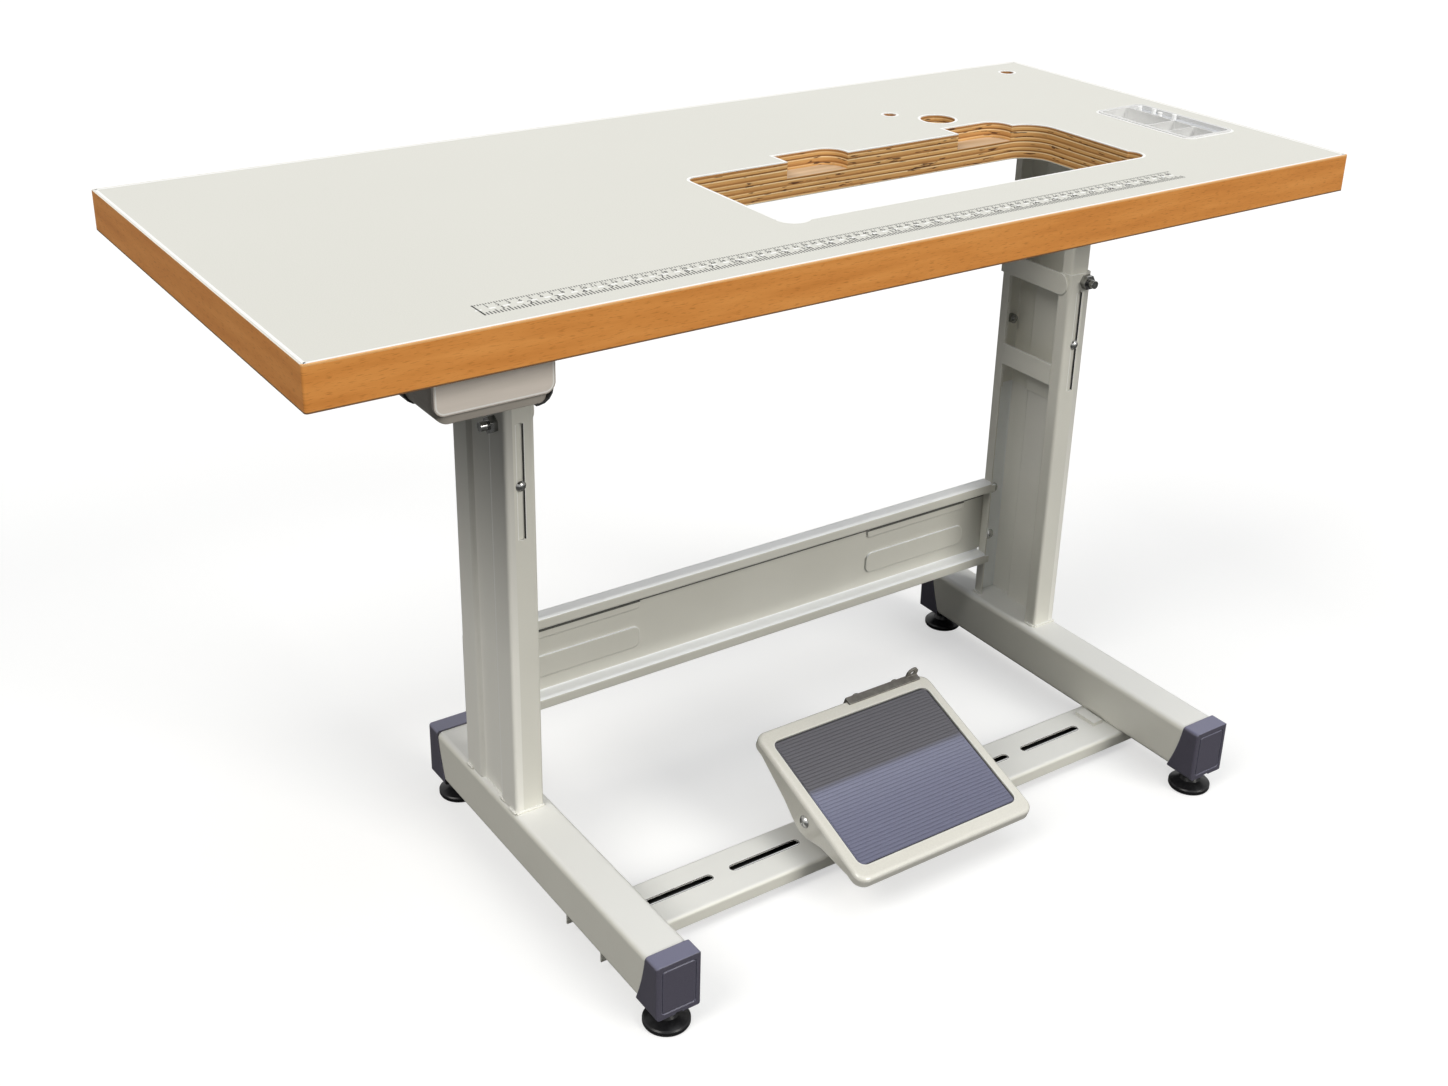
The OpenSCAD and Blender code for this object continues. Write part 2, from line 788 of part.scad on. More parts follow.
// Hanger bent round the drawer's lower edge, with its foot screwed under the worktop
module drawer_runner(side) {
    half = drawer_w / 2 + slide_gap + runner_t / 2;
    low = drawer_bottom - slide_gap - runner_t / 2;
    path = [
        [half + runner_foot, top_under - runner_t / 2],
        [half, top_under - runner_t / 2],
        [half, low],
        [half - runner_lip, low]
    ];
    upper_r = bend_r + runner_t / 2;
    lower_r = drawer_edge_r + slide_gap + runner_t / 2;
    color(black_colour) translate([drawer_x, 0, 0]) mirror([side == left ? 1 : 0, 0, 0])
        difference() {
            translate([0, runner_y0, 0]) along_y(runner_l) {
                polygon(sheet([path[0], path[1], (path[1] + path[2]) / 2], runner_t, upper_r));
                polygon(sheet([(path[1] + path[2]) / 2, path[2], path[3]], runner_t, lower_r));
            }
            runner_screw_places()
                rod(runner_screw_d + 2 * hole_fit, top_under - runner_t - 1, top_under + 1);
        }
}

module runner_screw_places() {
    x = drawer_w / 2 + slide_gap + runner_t + runner_foot / 2;
    for (y = [runner_screw_in, runner_l - runner_screw_in])
        translate([x, runner_y0 + y, 0]) children();
}

module runner_screws() {
    color(black_colour) translate([drawer_x, 0, 0]) for (side = [left, right])
        mirror([side == left ? 1 : 0, 0, 0]) runner_screw_places() {
            translate([0, 0, top_under - runner_t]) mirror([0, 0, 1])
                dome_head(runner_screw_d, 0.6 * runner_screw_d);
            rod(runner_screw_d, top_under - runner_t - eps, top_under + runner_screw_l);
        }
}

// Holes in the worktop's underside for the screws of the runners and mounting plates
module screw_pilots() {
    translate([drawer_x, 0, 0]) for (side = [left, right])
        mirror([side == left ? 1 : 0, 0, 0]) runner_screw_places()
            rod(runner_screw_d + 2 * hole_fit, top_under - 1, top_under + runner_screw_l + 1);
    for (side = [left, right]) stand_side(side)
        plate_screw_places()
            rod(plate_screw_d + 2 * hole_fit, top_under - 1, top_under + plate_screw_l + 1);
}

module plate_screw_places() {
    for (y = [plate_screw_end, plate_l - plate_screw_end], x = [12, plate_w - 8])
        translate([plate_out - plate_w + x, col_back + col_d / 2 - plate_l / 2 + y, 0]) children();
}

module mounting_plate(side) {
    color(frame_colour) stand_side(side) difference() {
        translate([plate_out - plate_w / 2, col_back + col_d / 2, 0])
            between(post_top, top_under) round_rect(plate_w, plate_l, plate_r);
        plate_screw_places() rod(plate_screw_d + 2 * hole_fit, post_top - 1, top_under + 1);
    }
}

module plate_screws(side) {
    color(zinc_colour) stand_side(side) plate_screw_places() {
        translate([0, 0, post_top]) mirror([0, 0, 1]) dome_head(1.1 * plate_screw_d, 0.6 * plate_screw_d);
        rod(plate_screw_d, post_top - eps, top_under + plate_screw_l);
    }
}

// Middle line of the pressed channel: front lip, front flange, fluted web, rear flange, rear lip
function channel_path() =
    let (open = col_out - col_w + col_wall / 2)
    let (web = col_out - col_wall / 2)
    let (y0 = col_back + col_wall / 2)
    let (y1 = col_back + col_d - col_wall / 2)
    let (mid = col_back + col_d / 2)
    [
        [open, col_back + lip_front],
        [open, y0],
        [web, y0],
        [web, mid - flute_w / 2],
        [web - flute_depth, mid - flute_w / 2 + flute_run],
        [web - flute_depth, mid + flute_w / 2 - flute_run],
        [web, mid + flute_w / 2],
        [web, y1],
        [open, y1],
        [open, col_back + col_d - lip_rear]
    ];

module column(side) {
    color(frame_colour) stand_side(side) difference() {
        between(tube_top, col_top) polygon(sheet(channel_path(), col_wall, mid_bend));
        for (y = [col_back - 1, col_back + col_d - col_wall - 1])
            translate([slot_x, y, (slot_z0 + slot_z1) / 2])
                along_y(col_wall + 2) rotate(90) slot_shape(slot_l, slot_w);
        clamp_place(side) rod(clamp_d + 2 * hole_fit, -col_wall - 1, 1);
        brace_bolt_places() rod(brace_bolt_d + 2 * hole_fit, -col_wall - 1, 1);
    }
}

// The post follows the column's inside all round, with a gap of post_fit
module post(side) {
    path = offset_path(channel_path(), col_wall + post_fit);
    color(frame_colour) stand_side(side) difference() {
        between(post_top - post_l, post_top) polygon(sheet(path, col_wall, mid_bend));
        slot_screw_places() rod(slot_screw_d + 2 * hole_fit, -3 * col_wall, 1);
    }
}

// Places of the slot screws on the columns' front and rear faces, Z out of the column
module slot_screw_places() {
    translate([slot_x, col_back, slot_screw_z]) rotate([90, 0, 0]) children();
    translate([slot_x, col_back + col_d, slot_screw_z]) rotate([-90, 0, 0]) children();
}

module slot_screws(side) {
    insert = -2 * col_wall - post_fit;
    color(zinc_colour) stand_side(side) slot_screw_places() {
        translate([0, 0, slide_gap]) dome_head(slot_head_r, slot_head_h);
        rod(slot_screw_d, insert - slot_insert_l - 2, slide_gap + eps);
        difference() {
            rod(2 * slot_screw_d, insert - slot_insert_l, insert);
            rod(slot_screw_d, insert - slot_insert_l - 1, insert + 1);
        }
    }
}

// Seat of a column's clamp stud, Z out of the sheet: on the left through the web near the front,
// on the right through the front flange near its outer edge
module clamp_place(side) {
    if (side == left)
        translate([col_out, col_back + clamp_back, col_top - clamp_drop_left])
            rotate([0, 90, 0]) children();
    if (side == right)
        translate([col_out - clamp_in, col_back, col_top - clamp_drop_right])
            rotate([90, 0, 0]) children();
}

module clamp_stud(side) {
    color(zinc_colour) stand_side(side) clamp_place(side) {
        rod(clamp_d, -col_wall - post_fit + slide_gap, clamp_l);
        difference() {
            hex(across_flats(clamp_d), 0, nut_h(clamp_d));
            rod(clamp_d, -1, nut_h(clamp_d) + 1);
        }
    }
}

// Strap welded on the outside of both lips, with its front end round
module upper_strap(side) {
    l = col_d - strap_set_back;
    r = strap_w / 2 - 1;
    y = col_back + strap_set_back + l / 2;
    color(frame_colour) stand_side(side)
        translate([col_out - col_w - col_wall / 2, y, col_top - strap_top - strap_w / 2])
            along_x(col_wall) difference() {
                square([l, strap_w], center = true);
                translate([-l / 2, strap_w / 2]) mirror([1, 0]) corner_waste(r);
                translate([-l / 2, -strap_w / 2]) mirror([1, 0]) mirror([0, 1]) corner_waste(r);
            }
}

// Strap welded between the edges of the lips
module lower_strap(side) {
    y0 = col_back + lip_front;
    y1 = col_back + col_d - lip_rear;
    color(frame_colour) stand_side(side)
        translate([col_out - col_w - strap_proud, y0, col_top - strap_low - strap_w])
            cube([col_wall + strap_proud, y1 - y0, strap_w]);
}

// Seats of the brace bolts on the rear flanges' inner faces, Z into the column
module brace_bolt_places() {
    for (k = [0, 1])
        translate([brace_bolt_x, brace_y - col_wall, brace_z0 + brace_bolt_low + k * brace_bolt_pitch])
            rotate([90, 0, 0]) children();
}

module brace_bolts(side) {
    reach = col_wall + brace_wall;
    color(zinc_colour) stand_side(side) brace_bolt_places() {
        dome_head(0.9 * brace_bolt_d, 0.55 * brace_bolt_d);
        rod(brace_bolt_d, -reach - nut_h(brace_bolt_d) - 3, eps);
        difference() {
            hex(across_flats(brace_bolt_d), -reach - nut_h(brace_bolt_d), -reach);
            rod(brace_bolt_d, -reach - nut_h(brace_bolt_d) - 1, 1);
        }
    }
}

// Channel behind the columns: its web runs past both, its flanges fit between them, and its lips run on
// in front of the columns' rear lips
module back_brace() {
    web = brace_y + brace_wall / 2;
    inner = foot_pitch / 2 + col_out - col_w;
    lip_half = inner + brace_tab;
    path = [
        [brace_fore, brace_z1 - brace_lip],
        [brace_fore, brace_z1 - brace_wall / 2],
        [web, brace_z1 - brace_wall / 2],
        [web, brace_z0 + brace_wall / 2],
        [brace_fore, brace_z0 + brace_wall / 2],
        [brace_fore, brace_z0 - brace_lip + brace_wall]
    ];
    web_half = foot_pitch / 2 + col_out - brace_short;
    lip_l = brace_lip - brace_wall - bend_r;
    color(frame_colour) translate([stand_shift, 0, 0]) difference() {
        union() {
            along_x(2 * (inner - seat_gap)) polygon(sheet(path, brace_wall, bend_r + brace_wall / 2));
            translate([-web_half, brace_y, brace_z0 + bend_r + brace_wall])
                cube([2 * web_half, brace_wall, brace_h - 2 * (bend_r + brace_wall)]);
            for (z = [brace_z1 - brace_lip, brace_z0 - brace_lip + brace_wall])
                translate([-lip_half, brace_fore - brace_wall / 2, z])
                    cube([2 * lip_half, brace_wall, lip_l]);
            embossings(0, brace_y - emboss_t, brace_y + brace_wall / 2);
        }
        embossings(brace_wall, brace_y - emboss_t + brace_wall, brace_y + brace_wall + 1);
        for (k = [left, right]) translate([k * foot_pitch / 2, 0, 0])
            mirror([k == left ? 1 : 0, 0, 0]) brace_bolt_places()
                rod(brace_bolt_d + 2 * hole_fit, -col_wall - brace_wall - 1, -col_wall + 1);
    }
}

// Two pads pressed forward near each end of the brace, between two depths; smaller copies hollow them
// from behind
module embossings(shrink, y0, y1) {
    x = foot_pitch / 2 + col_out - col_w - emboss_in - emboss_l / 2;
    for (k = [left, right]) for (pad = [[emboss_up, emboss_h], [rib_up, rib_h]])
        translate([k * x, y0, brace_z0 + pad[0]]) along_y(y1 - y0)
            round_rect(emboss_l - 2 * shrink, pad[1] - 2 * shrink, pad[1] / 3 - shrink / 2);
}

module foot_tube(side) {
    y0 = foot_y0 + cap_end;
    y1 = foot_y1 - cap_end;
    color(frame_colour) stand_side(side) difference() {
        translate([0, y0, foot_clear + tube_h / 2]) along_y(y1 - y0) difference() {
            round_rect(tube_w, tube_h, tube_r);
            round_rect(tube_w - 2 * tube_wall, tube_h - 2 * tube_wall, tube_r - tube_wall);
        }
        for (y = [glide_front_y, glide_rear_y])
            translate([0, y, 0]) rod(glide_stud_d + 1, foot_clear - 1, foot_clear + tube_wall + 1);
        bar_bolt_places() rod(bar_bolt_d + 2 * hole_fit, foot_clear - 1, foot_clear + tube_wall + 1);
    }
}

module weld_nuts(side) {
    seat = foot_clear + tube_wall;
    color(zinc_colour) stand_side(side) for (y = [glide_front_y, glide_rear_y])
        translate([0, y, 0]) difference() {
            hex(across_flats(glide_stud_d), seat, seat + weld_nut_h);
            rod(glide_stud_d + 2 * glide_fit, seat - 1, seat + weld_nut_h + 1);
        }
}

// Moulded cap over a foot's end, which widens downward in a hollow curve and is cut out for the tube
module end_cap(side, end) {
    flare = cap_low_l - cap_top_l;
    rise = cap_h - cap_skirt_h;
    chord = norm([flare, rise]);
    deep = sqrt(cap_flare_r ^ 2 - chord ^ 2 / 4) / chord;
    middle = [cap_top_l + flare / 2, cap_skirt_h + rise / 2];
    color(cap_colour) foot_end(side, end) difference() {
        intersection() {
            translate([0, 0, cap_z0]) along_x(cap_w) difference() {
                square([cap_low_l, cap_h]);
                translate(middle + deep * [rise, flare]) circle(cap_flare_r, $fn = round_fn);
            }
            translate([0, 0, cap_z0 + cap_h / 2]) along_y(cap_low_l) round_rect(cap_w, cap_h, cap_r);
            translate([0, cap_low_l, 0]) between(cap_z0, cap_z0 + cap_h)
                round_rect(cap_w, 2 * cap_low_l, cap_r - 1);
        }
        translate([0, cap_end, foot_clear + tube_h / 2]) along_y(cap_low_l)
            round_rect(tube_w + 2 * seat_fit, tube_h + 2 * seat_fit, tube_r);
        translate([0, glide_in, 0]) rod(glide_stud_d + 1, cap_z0 - 1, foot_clear + 1);
        translate([0, -eps, cap_z0 + cap_h / 2]) along_y(cap_groove_t) difference() {
            round_rect(cap_w - 2 * cap_margin, cap_h - 2 * cap_margin, cap_r);
            round_rect(cap_w - 2 * cap_margin - 2 * cap_groove_w, cap_h - 2 * cap_margin - 2 * cap_groove_w,
                cap_r - cap_groove_w);
        }
        translate([0, -eps, cap_z0]) along_y(cap_notch_t) square(cap_notch, center = true);
    }
}

// Glide: a round pad with a conical top and a threaded stud up into the weld nut
module glide(side, end) {
    r = glide_d / 2;
    stud_r = glide_stud_d / 2;
    neck = cap_z0 - slide_gap;
    collar = neck - glide_collar_h;
    tip = foot_clear + glide_stud_up;
    color(black_colour) foot_end(side, end) translate([0, glide_in, 0])
        rotate_extrude($fn = round_fn) polygon([
            [0, 0], [r - 3, 0], [r - 0.8, 1], [r, 2.5], [r, glide_pad_h], [r - 1.5, glide_pad_h + 1.5],
            [glide_neck_r + 2.5, glide_neck_z - 4], [glide_neck_r, glide_neck_z], [glide_neck_r, collar],
            [glide_neck_r - 1.5, collar], [glide_neck_r - 1.5, neck], [stud_r, neck],
            [stud_r, tip - 1], [stud_r - 1, tip], [0, tip]
        ]);
}

module treadle_bar() {
    y0 = bar_y - bar_w / 2 + bar_wall / 2;
    y1 = bar_y + bar_w / 2 - bar_wall / 2;
    path = [
        [y0, bar_top - bar_h],
        [y0, bar_top - bar_wall / 2],
        [y1, bar_top - bar_wall / 2],
        [y1, bar_top - bar_h]
    ];
    lug_x = foot_pitch / 2 - tube_w / 2 - lug[0] / 2 - 2.5;
    color(frame_colour) translate([stand_shift, 0, 0]) {
        difference() {
            along_x(2 * bar_x) polygon(sheet(path, bar_wall, bend_r + bar_wall / 2));
            for (x = bar_slots) translate([x - bar_slot_shift, slot_row_y, 0])
                between(bar_top - bar_wall - 1, bar_top + 1) slot_shape(bar_slot_l, bar_slot_w);
            for (k = [left, right]) translate([k * foot_pitch / 2, 0, 0])
                bar_bolt_places()
                    rod(bar_bolt_d + 2 * hole_fit, bar_top - bar_wall - 1, bar_top + 1);
        }
        for (k = [left, right]) translate([k * lug_x, bar_y + 8, bar_top + lug[2] / 2 - eps])
            cube(lug, center = true);
    }
}

module bar_bolt_places() {
    for (k = [-1, 1]) translate([0, bar_y + k * bar_bolt_pitch / 2, 0]) children();
}

// Bolts that hold the bar up under a foot tube, with nuts welded inside the tube
module bar_bolts(side) {
    seat = bar_top - bar_wall;
    nut = foot_clear + tube_wall;
    color(zinc_colour) stand_side(side) bar_bolt_places() {
        hex(across_flats(bar_bolt_d), seat - head_h(bar_bolt_d), seat);
        rod(bar_bolt_d, seat - eps, nut + nut_h(bar_bolt_d) + 2);
        difference() {
            hex(across_flats(bar_bolt_d), nut, nut + nut_h(bar_bolt_d));
            rod(bar_bolt_d, nut - 1, nut + nut_h(bar_bolt_d) + 1);
        }
    }
}

// U-shaped carrier: a foot on the bar and an upright ear at each end for the treadle's pivots
module treadle_carrier() {
    half = ear_out - carrier_t / 2;
    low = bar_top + slide_gap + carrier_t / 2;
    path = [[-half, pivot_h + ear_r], [-half, low], [half, low], [half, pivot_h + ear_r]];
    color(frame_colour) translate([stand_shift, 0, 0]) difference() {
        intersection() {
            translate([0, carrier_foot_y, 0]) along_y(carrier_foot_l)
                polygon(sheet(path, carrier_t, bend_r + carrier_t / 2));
            along_x(pedal_w) {
                translate([carrier_foot_y, bar_top]) square([carrier_foot_l, carrier_foot_h]);
                translate([pivot_y - ear_r, bar_top]) square([2 * ear_r, pivot_h - bar_top]);
                translate([pivot_y, pivot_h]) circle(ear_r, $fn = round_fn);
            }
        }
        translate([0, pivot_y, pivot_h]) rotate([0, 90, 0])
            cylinder(d = pivot_d + 2 * hole_fit, h = pedal_w, center = true, $fn = round_fn);
        carrier_bolt_places() rod(carrier_bolt_d + 2 * hole_fit, bar_top - 1, bar_top + 10);
    }
}

module carrier_bolt_places() {
    for (k = [-1, 1]) translate([k * carrier_bolt_pitch / 2, slot_row_y, 0]) children();
}

module carrier_bolts() {
    seat = bar_top + slide_gap + carrier_t;
    nut = bar_top - bar_wall - slide_gap;
    nut_low = nut - bar_washer_t - nut_h(carrier_bolt_d);
    color(zinc_colour) translate([stand_shift, 0, 0]) carrier_bolt_places() {
        hex(across_flats(carrier_bolt_d), seat, seat + head_h(carrier_bolt_d));
        rod(carrier_bolt_d, nut_low - 1, seat + eps);
        difference() {
            union() {
                rod(bar_washer_d, nut - bar_washer_t, nut);
                hex(across_flats(carrier_bolt_d), nut_low, nut - bar_washer_t + eps);
            }
            rod(carrier_bolt_d, nut_low - 2, nut + 1);
        }
    }
}

// Shoulder bolts through the treadle's skirts, each with its spacer tube and nut at the ear
module pivot_bolts() {
    seat = pedal_w / 2 + slide_gap;
    nut_end = ear_out - carrier_t - nut_h(pivot_d);
    color(zinc_colour) translate([stand_shift, pivot_y, pivot_h]) for (k = [left, right])
        mirror([k == left ? 1 : 0, 0, 0]) rotate([0, 90, 0]) {
            translate([0, 0, seat]) dome_head(0.95 * pivot_d, 0.55 * pivot_d);
            rod(pivot_d, nut_end - 1.5, seat + eps);
            difference() {
                union() {
                    rod(washer_d, ear_out, skirt_in - slide_gap);
                    hex(across_flats(pivot_d), nut_end, ear_out - carrier_t);
                }
                rod(pivot_d, nut_end - 1, skirt_in);
            }
        }
}

// Frame of the treadle: Y up its slope from the front edge, Z square to the treading surface
module on_treadle() {
    translate([stand_shift, pivot_y, pivot_h]) rotate([pedal_tilt, 0, 0])
        translate([0, -pivot_in, pivot_drop]) children();
}

// Rounded slab for the treadle's rim, drawn in at the top as a moulding is
module pillow(w, l, r, z0, z1, soft) {
    hull() {
        translate([0, 0, z0]) linear_extrude(eps) pillow_slice(w, l, r);
        for (i = [0:4]) {
            a = 90 * i / 4;
            inset = soft * (1 - cos(a));
            translate([0, 0, z1 - soft + soft * sin(a) - eps])
                linear_extrude(eps) pillow_slice(w - 2 * inset, l - 2 * inset, r - inset);
        }
    }
}

module pillow_slice(w, l, r) {
    for (x = [-1, 1], y = [-1, 1])
        translate([x * (w / 2 - r), y * (l / 2 - r)]) circle(r, $fn = 32);
}

// Outline of a skirt along the treadle's side: deepest at the pivot, drawn up to both ends
module skirt_outline() {
    deep = pivot_drop + skirt_low;
    polygon([
        [1, -4], [pivot_in - skirt_fore, -pivot_drop - 4], [pivot_in - 2 * skirt_fore / 3, -pivot_drop - 10],
        [pivot_in - 10, -deep + 2], [pivot_in + 4, -deep], [pivot_in + 18, -deep + 4],
        [pivot_in + skirt_aft, -deep + 13], [pedal_l - 4, -4], [pedal_l - 4, 0], [1, 0]
    ]);
}

module treadle_frame() {
    rib_h = 2 * rim_under - 2;
    color(pedal_colour) on_treadle() difference() {
        union() {
            translate([0, pedal_l / 2, 0])
                pillow(pedal_w, pedal_l, pedal_r, -rim_under, rim_h, rim_soft);
            intersection() {
                for (k = [-1, 1]) translate([k * (pedal_w - skirt_t) / 2, 0, 0])
                    along_x(skirt_t) skirt_outline();
                translate([0, pedal_l / 2, 0]) between(-pedal_l, 0) round_rect(pedal_w, pedal_l, pedal_r);
            }
        }
        translate([0, pedal_l / 2, 0]) between(0, rim_h + 1) round_rect(mat_w, mat_l, 10);
        translate([0, pedal_l / 2, 0]) difference() {
            between(-rim_under - 1, -pedal_floor_t)
                round_rect(pedal_w - 2 * skirt_t, pedal_l - 2 * skirt_t, pedal_r - skirt_t);
            for (x = [-under_rib_x, 0, under_rib_x]) translate([x, 0, 0])
                cube([under_rib_t, pedal_l, rib_h], center = true);
            for (y = [-under_rib_y, under_rib_y]) translate([0, y, 0])
                cube([pedal_w - 2 * skirt_t - 24, under_rib_t, rib_h], center = true);
        }
        translate([0, pivot_in, -pivot_drop]) rotate([0, 90, 0])
            cylinder(d = pivot_d + 2 * pivot_fit, h = pedal_w + 2, center = true, $fn = round_fn);
        link_screw_places() rod(link_screw_d + 2 * hole_fit, -link_t - link_screw_l - 1, 1);
    }
}

// Rubber mat laid in the treadle, ribbed from side to side
module treadle_mat() {
    w = mat_w - 2 * seat_fit;
    l = mat_l - 2 * seat_fit;
    ribs = floor((l - 6) / mat_pitch);
    color(mat_colour) on_treadle() translate([0, pedal_l / 2, 0]) {
        linear_extrude(mat_base_t) round_rect(w, l, 9);
        for (i = [0:ribs]) translate([0, (i - ribs / 2) * mat_pitch, mat_base_t])
            cube([w - 6, mat_pitch * 0.6, 2 * mat_rib_h], center = true);
    }
}

// Seats of the bracket's screws on the back of its upright leg, Z to the back
module link_screw_places() {
    for (x = link_screw_x)
        translate([link_x0 + x, pedal_l + link_t, link_screw_z]) rotate([-90, 0, 0]) children();
}

// Angle over the treadle's back rim, with an upright ear for the rod to the motor clutch
module link_bracket() {
    ear_x = link_x0 + link_l - link_ear_r;
    foot = [pedal_l + link_t - link_w, rim_h];
    color(dark_steel_colour) on_treadle() difference() {
        union() {
            translate([link_x0 + link_l / 2, 0, 0]) along_x(link_l) {
                translate(foot) square([link_w, link_t]);
                translate([pedal_l, -link_drop]) square([link_t, link_drop + rim_h + link_t]);
            }
            translate([ear_x, pedal_l, 0]) along_y(link_t) {
                translate([-link_ear_r, 0]) square([2 * link_ear_r, rim_h + link_ear_up]);
                translate([0, rim_h + link_ear_up]) circle(link_ear_r, $fn = round_fn);
            }
        }
        translate([ear_x, pedal_l - 1, rim_h + link_ear_up]) rotate([-90, 0, 0])
            cylinder(d = link_hole_d, h = link_t + 2, $fn = round_fn);
        link_screw_places() rod(link_screw_d + 2 * hole_fit, -link_t - 1, 1);
    }
}

module link_screws() {
    color(dark_steel_colour) on_treadle() link_screw_places() {
        dome_head(1.5 * link_screw_d, 1.1 * link_screw_d);
        rod(link_screw_d, -link_t - link_screw_l, eps);
    }
}

table_core();
top_laminate();
bottom_laminate();
edge_band();
tool_tray();
drawer_box();
drawer_front();
drawer_runner(left);  // left_drawer_runner
drawer_runner(right);  // right_drawer_runner
runner_screws();
mounting_plate(left);  // left_mounting_plate
mounting_plate(right);  // right_mounting_plate
plate_screws(left);  // left_plate_screws
plate_screws(right);  // right_plate_screws
post(left);  // left_post
post(right);  // right_post
slot_screws(left);  // left_slot_screws
slot_screws(right);  // right_slot_screws
column(left);  // left_column
column(right);  // right_column
upper_strap(left);  // left_upper_strap
upper_strap(right);  // right_upper_strap
lower_strap(left);  // left_lower_strap
lower_strap(right);  // right_lower_strap
clamp_stud(left);  // left_clamp_stud
clamp_stud(right);  // right_clamp_stud
back_brace();
brace_bolts(left);  // left_brace_bolts
brace_bolts(right);  // right_brace_bolts
foot_tube(left);  // left_foot_tube
foot_tube(right);  // right_foot_tube
weld_nuts(left);  // left_weld_nuts
weld_nuts(right);  // right_weld_nuts
end_cap(left, front);  // front_left_cap
end_cap(left, rear);  // rear_left_cap
end_cap(right, front);  // front_right_cap
end_cap(right, rear);  // rear_right_cap
glide(left, front);  // front_left_glide
glide(left, rear);  // rear_left_glide
glide(right, front);  // front_right_glide
glide(right, rear);  // rear_right_glide
treadle_bar();
bar_bolts(left);  // left_bar_bolts
bar_bolts(right);  // right_bar_bolts
treadle_carrier();
carrier_bolts();
pivot_bolts();
treadle_frame();
treadle_mat();
link_bracket();
link_screws();
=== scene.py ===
import math

import bmesh
import bpy
from mathutils import Euler, Matrix, Vector


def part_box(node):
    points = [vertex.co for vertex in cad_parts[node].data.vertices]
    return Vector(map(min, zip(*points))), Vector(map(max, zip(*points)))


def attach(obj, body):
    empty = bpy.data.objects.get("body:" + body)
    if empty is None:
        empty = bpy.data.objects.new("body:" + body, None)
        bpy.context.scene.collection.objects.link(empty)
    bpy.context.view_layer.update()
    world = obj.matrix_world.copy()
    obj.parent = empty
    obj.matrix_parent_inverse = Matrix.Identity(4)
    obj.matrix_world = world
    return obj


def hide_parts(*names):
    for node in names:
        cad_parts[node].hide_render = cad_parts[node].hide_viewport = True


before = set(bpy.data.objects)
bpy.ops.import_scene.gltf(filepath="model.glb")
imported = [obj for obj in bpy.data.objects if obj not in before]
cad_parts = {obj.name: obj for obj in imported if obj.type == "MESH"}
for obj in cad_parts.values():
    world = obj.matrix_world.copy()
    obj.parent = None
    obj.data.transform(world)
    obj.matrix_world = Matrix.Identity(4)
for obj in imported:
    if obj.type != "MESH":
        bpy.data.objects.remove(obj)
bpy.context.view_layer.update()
bpy.ops.object.select_all(action="DESELECT")

# The photographer's camera: a 44 mm lens on a full frame, chest high in front of the table's left end. It
# looks down and to the right, and its lens axis meets the picture, 1448 by 1086, above the middle.
picture_width = 1448
picture_height = 1086
axis_pixel_y = 450
camera_data = bpy.data.cameras.new("camera")
camera_data.sensor_width = 36
camera_data.lens = 44.04
camera_data.shift_y = (axis_pixel_y - picture_height / 2) / picture_width
camera = bpy.data.objects.new("camera", camera_data)
camera.location = (-1.0314, -1.4332, 1.2743)
camera.rotation_euler = Euler([math.radians(angle) for angle in (65.486, -1.200, -34.014)])
bpy.context.collection.objects.link(camera)
bpy.context.scene.camera = camera
bpy.context.scene.view_settings.view_transform = "Standard"

# The studio: a wide pale floor under an even white sky, with a broad cool light overhead, a warm one low in
# front and a warm one high on the left. The camera sees the floor and the sky lighter than they light the
# table, so that only shadows close to the feet show. The floor is clear from below.
floor_lit = 0.16
floor_seen = 0.50
floor_glow = 0.55
sky_lit = 0.09
bpy.ops.mesh.primitive_plane_add(size=60)
floor = bpy.context.object
floor.name = "floor"
floor_white = bpy.data.materials.new("floor_white")
floor_white.use_nodes = True
nodes, links = floor_white.node_tree.nodes, floor_white.node_tree.links
nodes.clear()
matt = nodes.new("ShaderNodeBsdfDiffuse")
seen = nodes.new("ShaderNodeLightPath")
shades = nodes.new("ShaderNodeMapRange")
shades.inputs["To Min"].default_value = floor_lit
shades.inputs["To Max"].default_value = floor_seen
links.new(seen.outputs["Is Camera Ray"], shades.inputs["Value"])
links.new(shades.outputs["Result"], matt.inputs["Color"])
lift = nodes.new("ShaderNodeMath")
lift.operation = "MULTIPLY"
lift.inputs[1].default_value = floor_glow
links.new(seen.outputs["Is Camera Ray"], lift.inputs[0])
glow = nodes.new("ShaderNodeEmission")
glow.inputs["Color"].default_value = (1, 1, 1, 1)
links.new(lift.outputs[0], glow.inputs["Strength"])
both = nodes.new("ShaderNodeAddShader")
links.new(matt.outputs[0], both.inputs[0])
links.new(glow.outputs[0], both.inputs[1])
clear = nodes.new("ShaderNodeBsdfTransparent")
turned_away = nodes.new("ShaderNodeNewGeometry")
one_sided = nodes.new("ShaderNodeMixShader")
links.new(turned_away.outputs["Backfacing"], one_sided.inputs["Fac"])
links.new(both.outputs[0], one_sided.inputs[1])
links.new(clear.outputs[0], one_sided.inputs[2])
out = nodes.new("ShaderNodeOutputMaterial")
links.new(one_sided.outputs[0], out.inputs["Surface"])
floor.data.materials.append(floor_white)

